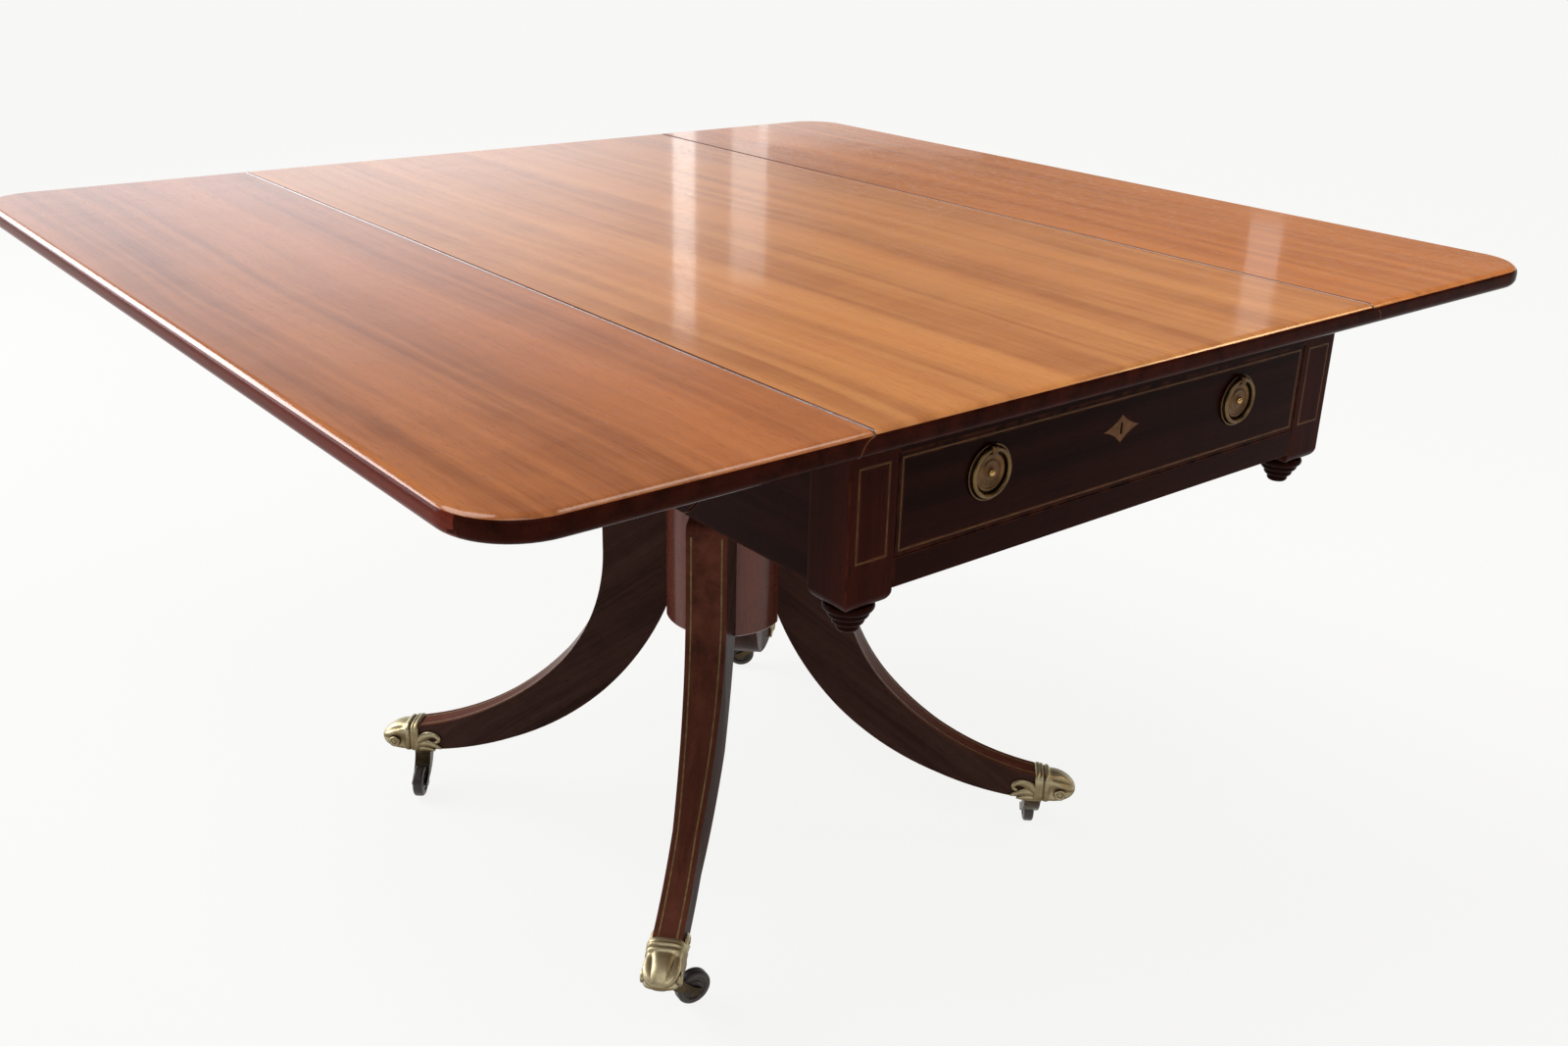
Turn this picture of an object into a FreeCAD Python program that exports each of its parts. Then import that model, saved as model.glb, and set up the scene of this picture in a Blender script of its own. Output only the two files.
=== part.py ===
import FreeCAD, Part
import math
import os
import re

import Sketcher

# Pembroke table on a pedestal: millimetres, +X across the leaves, -Y towards the drawer, +Z up.
# The origin is on the floor under the middle of the column.

SIZES = [
    ("table_height", 725, "floor to the top surface"),
    ("top_length", 1160, "centre board and leaves, front to back"),
    ("top_thickness", 20, "centre board and leaves"),
    ("joint_reach", 306, "middle of the table to the hinge axis of a leaf"),
    ("leaf_width", 305, "hinge axis to the leaf's outer edge"),
    ("leaf_corner", 58, "radius of a leaf's outer corners in plan"),
    ("edge_round", 8, "rounding of the top's outer edge, above and below"),
    ("joint_shoulder", 4, "height of the rule joint's square shoulder"),
    ("joint_radius", 13, "radius of the ovolo about the hinge axis"),
    ("joint_clearance", 0.6, "cove clear of the ovolo"),
    ("joint_gap", 0.5, "open line between centre board and leaf"),
    ("hinge_length", 66, "hinge along the joint"),
    ("hinge_barrel", 2.8, "radius of a hinge's knuckles"),
    ("hinge_pin", 1.4, "radius of a hinge's pin"),
    ("hinge_plate", 1.8, "thickness of the hinge plates"),
    ("hinge_top_reach", 26, "hinge axis to the end of the plate under the centre board"),
    ("hinge_leaf_reach", 46, "hinge axis to the end of the plate under the leaf"),
    ("hinge_spacing", 410, "between neighbouring hinges"),
    ("hinge_play", 0.3, "between neighbouring knuckles"),
    ("pin_clearance", 0.05, "radial play of every turning pin"),
    ("seat_clearance", 0.2, "play of pieces let into a recess"),
    ("post_inset", 6, "hinge axis of a leaf to a post's outer face"),
    ("end_overhang", 32, "top beyond the posts' end faces"),
    ("post_width", 47, "post, across the table"),
    ("post_depth", 45, "post, along the table"),
    ("post_bottom", 137, "underside of the top to the foot of the posts"),
    ("post_chamfer", 6, "chamfer round the foot of a post"),
    ("drop_radius", 19, "largest ring of a turned drop"),
    ("drop_tip", 8, "smallest ring of a turned drop"),
    ("drop_height", 24, "turned drop under a post"),
    ("rail_bottom", 125, "underside of the top to the lower edge of the rails"),
    ("rail_thickness", 22, "drawer rail and back rail"),
    ("top_rail_depth", 60, "rail above the drawer, front to back"),
    ("opening_bottom", 100, "underside of the top to the foot of the drawer opening"),
    ("opening_top", 17, "underside of the top to the drawer opening"),
    ("fly_thickness", 20, "outer side rails and brackets"),
    ("fly_inset", 3, "outer side rails behind the posts' faces"),
    ("fly_gap", 0.5, "closed bracket clear of the inner rail"),
    ("fly_pivot", 150, "middle of the table to a bracket's pin"),
    ("fly_pin", 2.5, "radius of a bracket's pin"),
    ("bracket_length", 252, "bracket from its pin to its upper tip"),
    ("bracket_undercut", 66, "set-back of the bracket's tip at its lower edge"),
    ("bracket_curve", 62, "radius of the bracket's ogee end"),
    ("bracket_drop", 0.5, "bracket clear of the underside of the top"),
    ("bracket_kerf", 1.6, "saw cut between bracket and fixed rail"),
    ("knuckle_play", 0.3, "between the wooden knuckles"),
    ("runner_height", 14, "drawer runner"),
    ("runner_width", 21, "drawer runner and kicker, across the table"),
    ("bearer_thickness", 21, "bearers under the drawer"),
    ("bearer_width", 78, "bearer, along the table"),
    ("bearer_offset", 58, "middle of the table to the middle of a bearer"),
    ("block_side", 196, "square block on top of the column"),
    ("block_thickness", 25, "block on top of the column"),
    ("column_radius", 69, "turned column"),
    ("column_bottom", 270, "floor to the foot of the column"),
    ("column_round", 4, "rounding of the column's foot"),
    ("column_tenon", 30, "radius of the tenon in the block"),
    ("leg_width", 45, "leg across its upper length"),
    ("leg_end_width", 31, "leg across its foot"),
    ("leg_taper_start", 142, "reach at which a leg begins to narrow"),
    ("leg_taper_end", 262, "reach at which a leg has its foot's width"),
    ("leg_top", 437, "floor to the top of a leg"),
    ("leg_shoulder", 8, "rounding of a leg's top"),
    ("leg_front", 140, "column axis to a leg's upright face"),
    ("leg_straight", 346, "floor to the foot of the upright face"),
    ("leg_knee_reach", 195, "reach of the point where the upper curve eases"),
    ("leg_knee_height", 197, "height of that point"),
    ("leg_root", 283, "floor to the leg's lower edge at the column"),
    ("leg_end", 380, "column axis to the end of the wooden leg"),
    ("leg_end_top", 89, "upper edge of that end"),
    ("leg_end_bottom", 56, "lower edge of that end"),
    ("upper_curve", 235, "radius of the leg's upper curve below the column"),
    ("foot_curve", 330, "radius of the leg's upper curve towards the foot"),
    ("lower_curve", 362, "radius of the leg's lower curve"),
    ("dovetail_depth", 22, "leg's tenon into the column"),
    ("dovetail_neck", 18, "width of that tenon at the column's flat"),
    ("dovetail_wide", 25, "width of that tenon at its inner end"),
    ("dovetail_bottom", 296, "floor to the tenon's lower end"),
    ("dovetail_top", 424, "floor to the tenon's upper end"),
    ("tongue_length", 14, "leg's tongue in its toe cap"),
    ("tongue_width", 22, "leg's tongue, across"),
    ("tongue_bottom", 60, "floor to the tongue's lower face"),
    ("tongue_top", 81, "floor to the tongue's upper face"),
    ("string_width", 1.6, "inlaid lines"),
    ("string_depth", 1.2, "inlaid lines, into the wood"),
    ("string_play", 0.05, "inlaid line in its groove"),
    ("leg_string_inset", 5, "leg's edge to its inlaid line"),
    ("leg_string_top", 424, "floor to the upper end of a leg's lines"),
    ("post_string_inset", 8, "post's edges to its inlaid line"),
    ("post_string_bottom", 3, "foot of the drawer opening to the lower line on a post"),
    ("post_string_top", 79, "foot of the drawer opening to the upper line on a post"),
    ("front_string_inset", 3, "drawer front's edges to its inlaid line"),
    ("scribe_width", 1, "line that marks the dummy drawer on the back rail"),
    ("scribe_depth", 2, "the same line, into the wood"),
    ("cap_length", 50, "toe cap, collar to toe"),
    ("sole_length", 19, "cap's sole behind the collar, under the leg"),
    ("sole_thickness", 3, "cap's sole"),
    ("cap_width", 38, "toe cap, across"),
    ("cap_bottom", 53, "floor to the toe cap's underside"),
    ("cap_crown", 87, "floor to the toe cap's upper face behind the toe"),
    ("cap_toe_drop", 5, "fall of the upper face towards the toe"),
    ("cap_toe_round", 14, "rounding of the toe above, seen from the side"),
    ("cap_toe_sweep", 24, "sweep of the toe's underside, along the leg"),
    ("collar_width", 41, "larger moulding of the cap's collar, across"),
    ("collar_height", 92, "floor to the top of the larger moulding"),
    ("collar_length", 10, "larger moulding along the leg"),
    ("bead_width", 39.5, "smaller moulding, across"),
    ("bead_height", 90, "floor to the top of the smaller moulding"),
    ("bead_length", 6, "smaller moulding along the leg"),
    ("bead_gap", 2, "between the two mouldings"),
    ("castor_reach", 380, "column axis to a castor's swivel axis"),
    ("castor_trail", 29, "swivel axis to wheel axle"),
    ("swivel_gap", 0.3, "castor flange clear of the toe cap"),
    ("flange_radius", 13, "castor flange"),
    ("flange_thickness", 4, "castor flange"),
    ("pintle_radius", 4.5, "swivel pin of a castor"),
    ("pintle_length", 20, "swivel pin inside the cap"),
    ("wheel_radius", 19, "castor wheel"),
    ("wheel_width", 12, "castor wheel"),
    ("wheel_round", 3, "rounding of the wheel's tread"),
    ("wheel_hub", 8, "radius of the wheel's hub"),
    ("wheel_dish", 1.5, "hollow between hub and tread"),
    ("wheel_play", 0.5, "wheel clear of each cheek"),
    ("tread_play", 1.6, "wheel clear of the horn"),
    ("cheek_thickness", 3, "cheeks of a castor's horn"),
    ("cheek_boss", 6.5, "radius of the cheeks round the axle"),
    ("cheek_curve", 44, "radius of the cheeks' hollow sides"),
    ("axle_radius", 3, "castor axle"),
    ("drawer_play", 1, "drawer clear of its opening at each side"),
    ("drawer_lift", 0.5, "drawer clear of its opening above and below"),
    ("drawer_recess", 0.6, "drawer front behind the posts' faces"),
    ("drawer_depth", 640, "drawer, front to back"),
    ("front_thickness", 20, "drawer front"),
    ("lining", 9, "drawer sides and back"),
    ("side_drop", 6, "drawer sides below the top of the front"),
    ("tail_length", 13, "dovetails of a drawer side, into the front"),
    ("tail_pitch", 19, "between the middles of neighbouring dovetails"),
    ("tail_neck", 10, "dovetail at the front's inner face"),
    ("tail_wide", 14, "dovetail at its end"),
    ("tail_top", 8, "top of a drawer side to the uppermost dovetail's end"),
    ("panel_thickness", 6, "drawer bottom"),
    ("panel_height", 6, "drawer bottom above the sides' lower edge"),
    ("panel_groove", 4, "depth of the grooves round the drawer bottom"),
    ("pull_offset", 157, "middle of the drawer to a ring pull"),
    ("pull_height", 48, "foot of the drawer opening to the middle of a ring pull"),
    ("pull_radius", 23.5, "back plate of a ring pull"),
    ("pull_plate", 1.2, "thickness of the back plate"),
    ("pull_rim", 1, "height of the back plate's rim"),
    ("pull_rim_width", 1.6, "width of that rim"),
    ("pull_disc", 16.2, "radius of the raised disc"),
    ("pull_disc_height", 1.5, "rise of that disc"),
    ("pull_boss", 3.4, "radius of the central boss"),
    ("pull_boss_height", 3.2, "rise of the boss above the disc"),
    ("ring_radius", 19.3, "ring, to the middle of its wire"),
    ("ring_wire", 1.9, "radius of the ring's wire"),
    ("ring_play", 0.5, "ring clear of the back plate and of its lug's sides"),
    ("eye_play", 0.4, "ring's wire in its lug's hole"),
    ("lug_radius", 4, "lug that carries the ring"),
    ("lug_width", 6, "lug, across"),
    ("kite_width", 45, "escutcheon"),
    ("kite_height", 24, "escutcheon"),
    ("kite_curve", 46, "radius of the escutcheon's hollow sides"),
    ("kite_centre", 52, "foot of the drawer opening to the middle of the escutcheon"),
    ("keyhole_width", 3, "keyhole"),
    ("keyhole_height", 11, "keyhole"),
    ("lock_width", 56, "lock case"),
    ("lock_height", 40, "lock case"),
    ("lock_thickness", 9, "lock case"),
    ("bolt_width", 18, "lock bolt"),
    ("bolt_thickness", 4, "lock bolt"),
    ("bolt_height", 24, "lock bolt"),
    ("bolt_travel", 6, "rise of the lock bolt"),
    ("mortise_play", 2, "bolt in the mortise of the rail above"),
]

doc = FreeCAD.newDocument("pembroke_table")
sheet = doc.addObject("Spreadsheet::Sheet", "dims")
for row, (name, size, meaning) in enumerate(SIZES, start=1):
    sheet.set(f"A{row}", str(size))
    sheet.setAlias(f"A{row}", name)
    sheet.set(f"B{row}", meaning)
doc.recompute()

SIZE_NAME = re.compile(r"\b(" + "|".join(name for name, size, meaning in SIZES) + r")\b")
subparts = []

# Places that several pieces share, as formulas of the sizes.
UNDERSIDE = "(table_height - top_thickness)"
OPENING_TOP = f"({UNDERSIDE} - opening_top)"
OPENING_BOTTOM = f"({UNDERSIDE} - opening_bottom)"
RAIL_BOTTOM = f"({UNDERSIDE} - rail_bottom)"
POST_BOTTOM = f"({UNDERSIDE} - post_bottom)"
POST_LINE_LOW = f"({OPENING_BOTTOM} + post_string_bottom)"
POST_LINE_HIGH = f"({OPENING_BOTTOM} + post_string_top)"
PULL_MIDDLE = f"({OPENING_BOTTOM} + pull_height)"
KITE_MIDDLE = f"({OPENING_BOTTOM} + kite_centre)"
HINGE_HEIGHT = "(table_height - joint_shoulder - joint_radius)"
LEAF_EDGE = "(joint_reach + leaf_width)"
POST_FACE = "(joint_reach - post_inset)"
FRAME_END = "(top_length / 2 - end_overhang)"
POST_INNER = f"({POST_FACE} - post_width)"
POST_BACK = f"({FRAME_END} - post_depth)"
FLY_FACE = f"({POST_FACE} - fly_inset)"
FLY_BACK = f"({FLY_FACE} - fly_thickness)"
FLY_AXIS = f"({FLY_FACE} - fly_thickness / 2)"
RAIL_FACE = f"({FLY_BACK} - fly_gap)"
KNUCKLE = "(fly_thickness / 2)"
KNUCKLE_HEIGHT = "((rail_bottom - bracket_drop) / 5)"
BEARER_TOP = f"({OPENING_BOTTOM} - runner_height)"
BLOCK_TOP = f"({BEARER_TOP} - bearer_thickness)"
COLUMN_TOP = f"({BLOCK_TOP} - block_thickness)"
LEG_SEAT = "sqrt(column_radius * column_radius - leg_width * leg_width / 4)"
CAP_TOE = "(leg_end + cap_length)"
FLANGE_TOP = "(cap_bottom - swivel_gap)"
FLANGE_FOOT = f"({FLANGE_TOP} - flange_thickness)"
HORN_SLOT = "(wheel_width + 2 * wheel_play)"
HORN_WIDTH = f"({HORN_SLOT} + 2 * cheek_thickness)"
DRAWER_HALF = f"({POST_INNER} - drawer_play)"
DRAWER_LOW = f"({OPENING_BOTTOM} + drawer_lift)"
DRAWER_HIGH = f"({OPENING_TOP} - drawer_lift)"
DRAWER_FACE = f"({FRAME_END} - drawer_recess)"
DRAWER_INSIDE = f"({DRAWER_FACE} - front_thickness)"
DRAWER_END = f"({DRAWER_FACE} - drawer_depth)"
SIDE_TOP = f"({DRAWER_HIGH} - side_drop)"
PANEL_LOW = f"({DRAWER_LOW} + panel_height)"
RING_HEIGHT = "(pull_plate + ring_play + ring_wire)"
BOLT_TOP = f"({DRAWER_HIGH} - drawer_lift)"
# A half-round end has a radius just over half its width, so that it stays a short arc.
HALF_ROUND = 1.0001
# Radius of a rounded rim, as a share of the rim's thickness or the lobe's width.
RIM_ROUND = 0.6
# Radius of the toe's arcs, as a share of their fall.
TOE_ROUND = 1.1
# Edges are told apart by this distance.
TOUCH = 0.01
DROP_RINGS = 4
DRAWER_TAILS = 3
# Direction in which each castor trails at rest, in degrees from +X.
CASTOR_HEADINGS = {"front_left": 354, "front_right": 48, "back_left": 230, "back_right": 140}
EIGHTH_TURN = 45
HALF_TURN = 180


def tied(formula):
    """Formula with each size's name pointing at its cell."""
    return SIZE_NAME.sub(r"dims.\1", str(formula))


def value(formula):
    """Number that a formula of sizes comes to."""
    return float(sheet.evalExpression(tied(formula)))


def new_body(label):
    """Empty body under the given label."""
    body = doc.addObject("PartDesign::Body", label)
    body.Label = label
    body.AllowCompound = True
    return body


def node(item, label):
    """Keep a finished object as one node of the assembly."""
    item.Label = label
    subparts.append(item)
    return item


def group(label, items):
    """Several solids that share one node."""
    compound = doc.addObject("Part::Compound", label)
    compound.Links = items
    return node(compound, label)


def arc_between(start, end, radius):
    """Shorter arc from start to end, counter-clockwise where the radius is positive."""
    chord = end - start
    reach = abs(radius)
    rise = math.sqrt(max(reach * reach - chord.Length ** 2 / 4, 0))
    left = FreeCAD.Vector(-chord.y, chord.x, 0).normalize()
    side = math.copysign(1, radius)
    centre = (start + end) * 0.5 + left * rise * side
    first, last = (start, end) if side > 0 else (end, start)
    from_angle = math.atan2(first.y - centre.y, first.x - centre.x)
    to_angle = math.atan2(last.y - centre.y, last.x - centre.x)
    circle = Part.Circle(centre, FreeCAD.Vector(0, 0, 1), reach)
    return Part.ArcOfCircle(circle, from_angle, to_angle)


def fix_point(sketch, edge, end, across, up):
    """Hold one end of an edge at two formulas from the sketch's origin."""
    for kind, formula in (("DistanceX", across), ("DistanceY", up)):
        place = Sketcher.Constraint(kind, -1, 1, edge, end, value(formula))
        index = sketch.addConstraint(place)
        sketch.setExpression(f"Constraints[{index}]", tied(formula))


def add_loop(sketch, corners):
    """Closed loop of corners (across, up) or (across, up, radius of the arc to the next corner)."""
    spots = [FreeCAD.Vector(value(corner[0]), value(corner[1]), 0) for corner in corners]
    edges = []
    for index, corner in enumerate(corners):
        start = spots[index]
        end = spots[(index + 1) % len(spots)]
        if len(corner) == 2:
            edges.append((sketch.addGeometry(Part.LineSegment(start, end)), 1, 2))
            continue
        radius = value(corner[2])
        edge = sketch.addGeometry(arc_between(start, end, radius))
        edges.append((edge, 1, 2) if radius > 0 else (edge, 2, 1))
        index = sketch.addConstraint(Sketcher.Constraint("Radius", edge, abs(radius)))
        sketch.setExpression(f"Constraints[{index}]", tied(f"abs({corner[2]})"))
    for index, (edge, start, end) in enumerate(edges):
        following, following_start, following_end = edges[(index + 1) % len(edges)]
        meeting = Sketcher.Constraint("Coincident", edge, end, following, following_start)
        sketch.addConstraint(meeting)
        fix_point(sketch, edge, start, corners[index][0], corners[index][1])


def add_circle(sketch, across, up, radius):
    """Circle whose centre and radius are formulas."""
    spot = FreeCAD.Vector(value(across), value(up), 0)
    circle = Part.Circle(spot, FreeCAD.Vector(0, 0, 1), value(radius))
    edge = sketch.addGeometry(circle)
    index = sketch.addConstraint(Sketcher.Constraint("Radius", edge, value(radius)))
    sketch.setExpression(f"Constraints[{index}]", tied(radius))
    fix_point(sketch, edge, 3, across, up)


def outline(body, name, plane, loops=(), circles=(), lift="0"):
    """Sketch of loops and circles on one of the body's planes, lifted along the plane's normal."""
    sketch = body.newObject("Sketcher::SketchObject", f"{body.Name}_{name}")
    support = [item for item in body.Origin.OriginFeatures if item.Role == plane]
    sketch.AttachmentSupport = [(support[0], "")]
    sketch.MapMode = "FlatFace"
    sketch.setExpression("AttachmentOffset.Base.z", tied(lift))
    for corners in loops:
        add_loop(sketch, corners)
    for circle in circles:
        add_circle(sketch, *circle)
    return sketch


def extrude(kind, body, sketch, length, centred, backwards):
    """Pad or pocket of a sketch; no length means right through."""
    feature = body.newObject(f"PartDesign::{kind}", f"{sketch.Name}_{kind.lower()}")
    feature.Profile = sketch
    feature.SideType = "Symmetric" if centred else "One side"
    feature.Reversed = backwards
    if length is None:
        feature.Type = "ThroughAll"
    else:
        feature.setExpression("Length", tied(length))
    sketch.Visibility = False
    return feature


def pad(body, sketch, length, centred=False, backwards=False):
    """Solid raised from a sketch."""
    return extrude("Pad", body, sketch, length, centred, backwards)


def pocket(body, sketch, length=None, centred=False, backwards=False):
    """Hollow sunk from a sketch."""
    return extrude("Pocket", body, sketch, length, centred, backwards)


def turn(body, name, corners):
    """Solid of revolution about the body's Z axis."""
    sketch = outline(body, name, "XZ_Plane", [corners])
    feature = body.newObject("PartDesign::Revolution", f"{sketch.Name}_turned")
    feature.Profile = sketch
    feature.ReferenceAxis = (sketch, ["V_Axis"])
    feature.Angle = 360
    return feature


def round_edges(kind, body, base, formula, wanted):
    """Fillet or chamfer of the base's edges that the given test picks."""
    doc.recompute()
    names = [f"Edge{i}" for i, edge in enumerate(base.Shape.Edges, start=1) if wanted(edge)]
    feature = body.newObject(f"PartDesign::{kind}", f"{base.Name}_{kind.lower()}")
    feature.Base = (base, names)
    feature.setExpression("Radius" if kind == "Fillet" else "Size", tied(formula))
    return feature


def box_loop(low_across, low_up, high_across, high_up):
    """Corners of a rectangle."""
    return [
        (low_across, low_up),
        (high_across, low_up),
        (high_across, high_up),
        (low_across, high_up),
    ]


def frame_loops(half, low, high, width, play="0"):
    """Two rectangles, one inside the other: a line of the given width inside the outer size."""
    outer = box_loop(f"-({half} + {play})", f"{low} - {play}", f"{half} + {play}", f"{high} + {play}")
    inner = box_loop(
        f"-({half} - {width} - {play})",
        f"{low} + {width} + {play}",
        f"{half} - {width} - {play}",
        f"{high} - {width} - {play}",
    )
    return [outer, inner]


def place(item, across="0", along="0", up="0", degrees=0):
    """Stand an item at three formulas, turned about the vertical."""
    vertical = FreeCAD.Vector(0, 0, 1)
    item.Placement = FreeCAD.Placement(FreeCAD.Vector(), FreeCAD.Rotation(vertical, degrees))
    for axis, formula in zip("xyz", (across, along, up)):
        item.setExpression(f"Placement.Base.{axis}", tied(formula))
    return item


def board(label, low, high):
    """Plain board between two corners, each three formulas."""
    box = doc.addObject("Part::Box", label)
    for side, start, end in zip(("Length", "Width", "Height"), low, high):
        box.setExpression(side, tied(f"({end}) - ({start})"))
    return place(box, *low)


def cut(label, base, tool):
    """One solid less another."""
    result = doc.addObject("Part::Cut", label)
    result.Base = base
    result.Tool = tool
    return result


def rod(label, radius, length, across, along, up):
    """Upright round pin."""
    cylinder = doc.addObject("Part::Cylinder", label)
    cylinder.setExpression("Radius", tied(radius))
    cylinder.setExpression("Height", tied(length))
    return place(cylinder, across, along, up)


def hinge_places():
    """Distances of the three hinges of a leaf along the joint."""
    return ["-hinge_spacing", "0", "hinge_spacing"]


def make_top_centre():
    """Centre board: rounded ends, an ovolo along each joint and gains for the hinges."""
    body = new_body("top_centre")
    half = "(joint_reach + joint_radius)"
    plan = outline(
        body, "plan", "XY_Plane",
        [box_loop(f"-{half}", "-top_length / 2", half, "top_length / 2")], lift=UNDERSIDE,
    )
    slab = pad(body, plan, "top_thickness")
    end = value("top_length / 2")
    round_edges(
        "Fillet", body, slab, "edge_round",
        lambda edge: abs(abs(edge.CenterOfMass.y) - end) < TOUCH and edge.Length > end / 2,
    )
    beyond = f"({half} + joint_radius)"
    above = "(table_height + joint_radius)"
    for side, word in ((1, "right"), (-1, "left")):
        ovolo = outline(body, f"ovolo_{word}", "XZ_Plane", [[
            (f"{side} * joint_reach", above),
            (f"{side} * joint_reach", f"{HINGE_HEIGHT} + joint_radius", f"{-side} * joint_radius"),
            (f"{side} * {half}", HINGE_HEIGHT),
            (f"{side} * {beyond}", HINGE_HEIGHT),
            (f"{side} * {beyond}", above),
        ]])
        pocket(body, ovolo, centred=True)
        recess = f"({UNDERSIDE} + hinge_plate + seat_clearance)"
        groove = "(hinge_barrel + seat_clearance)"
        inner_end = f"{side} * (joint_reach - hinge_top_reach - seat_clearance)"
        below = f"({UNDERSIDE} - hinge_plate)"
        for number, along in enumerate(hinge_places(), start=1):
            gain = outline(body, f"gain_{word}_{number}", "XZ_Plane", [[
                (inner_end, below),
                (f"{side} * {beyond}", below),
                (f"{side} * {beyond}", recess),
                (f"{side} * (joint_reach + {groove})", recess),
                (f"{side} * (joint_reach + {groove})", HINGE_HEIGHT, f"{side} * {HALF_ROUND} * {groove}"),
                (f"{side} * (joint_reach - {groove})", HINGE_HEIGHT),
                (f"{side} * (joint_reach - {groove})", recess),
                (inner_end, recess),
            ]], lift=f"-({along})")
            pocket(body, gain, "hinge_length + 2 * seat_clearance", centred=True)
    node(body, "top_centre")


def make_leaf(label, degrees):
    """Drop leaf: rounded outer edge and corners, a cove over the ovolo and gains for the hinges."""
    body = new_body(label)
    inner = "(joint_reach + joint_gap)"
    plan = outline(body, "plan", "XY_Plane", [[
        (inner, "-top_length / 2"),
        (f"{LEAF_EDGE} - leaf_corner", "-top_length / 2", "leaf_corner"),
        (LEAF_EDGE, "leaf_corner - top_length / 2"),
        (LEAF_EDGE, "top_length / 2 - leaf_corner", "leaf_corner"),
        (f"{LEAF_EDGE} - leaf_corner", "top_length / 2"),
        (inner, "top_length / 2"),
    ]], lift=UNDERSIDE)
    slab = pad(body, plan, "top_thickness")
    inner_face = value(inner)
    round_edges(
        "Fillet", body, slab, "edge_round",
        lambda edge: edge.CenterOfMass.x > inner_face + 1 and edge.BoundBox.ZLength < TOUCH,
    )
    hollow = "(joint_radius + joint_clearance)"
    below = f"({UNDERSIDE} - joint_radius)"
    cove = outline(body, "cove", "XZ_Plane", [[
        ("joint_reach - joint_radius", below),
        (f"joint_reach + {hollow}", below),
        (f"joint_reach + {hollow}", HINGE_HEIGHT, hollow),
        ("joint_reach", f"{HINGE_HEIGHT} + {hollow}"),
        ("joint_reach - joint_radius", f"{HINGE_HEIGHT} + {hollow}"),
    ]])
    pocket(body, cove, centred=True)
    for number, along in enumerate(hinge_places(), start=1):
        gain = outline(body, f"gain_{number}", "XZ_Plane", [box_loop(
            "joint_reach + joint_radius", below,
            "joint_reach + hinge_leaf_reach + seat_clearance",
            f"{UNDERSIDE} + hinge_plate + seat_clearance",
        )], lift=f"-({along})")
        pocket(body, gain, "hinge_length + 2 * seat_clearance", centred=True)
    place(body, degrees=degrees)
    node(body, label)


def make_hinge_half(label, side, reach, along, degrees):
    """One plate of a hinge: two outer knuckles under the centre board, the middle one under the leaf."""
    body = new_body(label)
    third = "hinge_length / 6"
    clear = "(hinge_barrel + 2 * hinge_play)"
    tongue = "(hinge_barrel / 2)"
    near = f"joint_reach + {side} * {clear}"
    tip = f"joint_reach + {side} * {tongue}"
    far = f"joint_reach + {side} * {reach}"
    outer = "hinge_length / 2"
    middle = side > 0
    if middle:
        steps = [(near, f"-{third}"), (tip, f"-{third}"), (tip, third), (near, third)]
    else:
        gap = f"({third} + hinge_play)"
        steps = [(tip, f"-{gap}"), (near, f"-{gap}"), (near, gap), (tip, gap)]
    ends = near if middle else tip
    corners = [(far, f"-{outer}"), (ends, f"-{outer}")] + steps + [(ends, outer), (far, outer)]
    plate = outline(body, "plate", "XY_Plane", [corners], lift=UNDERSIDE)
    pad(body, plate, "hinge_plate")
    barrel = outline(
        body, "barrel", "XZ_Plane", circles=[("joint_reach", HINGE_HEIGHT, "hinge_barrel")],
    )
    pad(body, barrel, f"2 * {third}" if middle else "hinge_length", centred=True)
    if not middle:
        space = outline(body, "space", "XY_Plane", [box_loop(
            f"joint_reach - {clear}", f"-({third} + hinge_play)",
            f"joint_reach + {clear}", f"{third} + hinge_play",
        )], lift=HINGE_HEIGHT)
        pocket(body, space, centred=True)
    hole = outline(
        body, "hole", "XZ_Plane",
        circles=[("joint_reach", HINGE_HEIGHT, "hinge_pin + pin_clearance")],
    )
    pocket(body, hole, centred=True)
    return place(body, along=along, degrees=degrees)


def make_hinge_pin(label, along, degrees):
    """Pin through the three knuckles of a hinge."""
    body = new_body(label)
    section = outline(body, "section", "XZ_Plane", circles=[("joint_reach", HINGE_HEIGHT, "hinge_pin")])
    pad(body, section, "hinge_length", centred=True)
    return place(body, along=along, degrees=degrees)


def make_hinges():
    """Three hinges to a leaf."""
    top_plates = []
    pins = []
    for side, degrees in (("right", 0), ("left", HALF_TURN)):
        leaf_plates = []
        for number, along in enumerate(hinge_places(), start=1):
            tag = f"{side}_{number}"
            top_plates.append(make_hinge_half(f"top_plate_{tag}", -1, "hinge_top_reach", along, degrees))
            leaf_plates.append(make_hinge_half(f"leaf_plate_{tag}", 1, "hinge_leaf_reach", along, degrees))
            pins.append(make_hinge_pin(f"hinge_pin_{tag}", along, degrees))
        group(f"hinge_leaf_plates_{side}", leaf_plates)
    group("hinge_top_plates", top_plates)
    group("hinge_pins", pins)


def corners_of_frame():
    """Name, side of the table (-1 left) and end of the table (-1 front) of each corner."""
    return [
        ("front_left", -1, -1),
        ("front_right", 1, -1),
        ("back_left", -1, 1),
        ("back_right", 1, 1),
    ]


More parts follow.
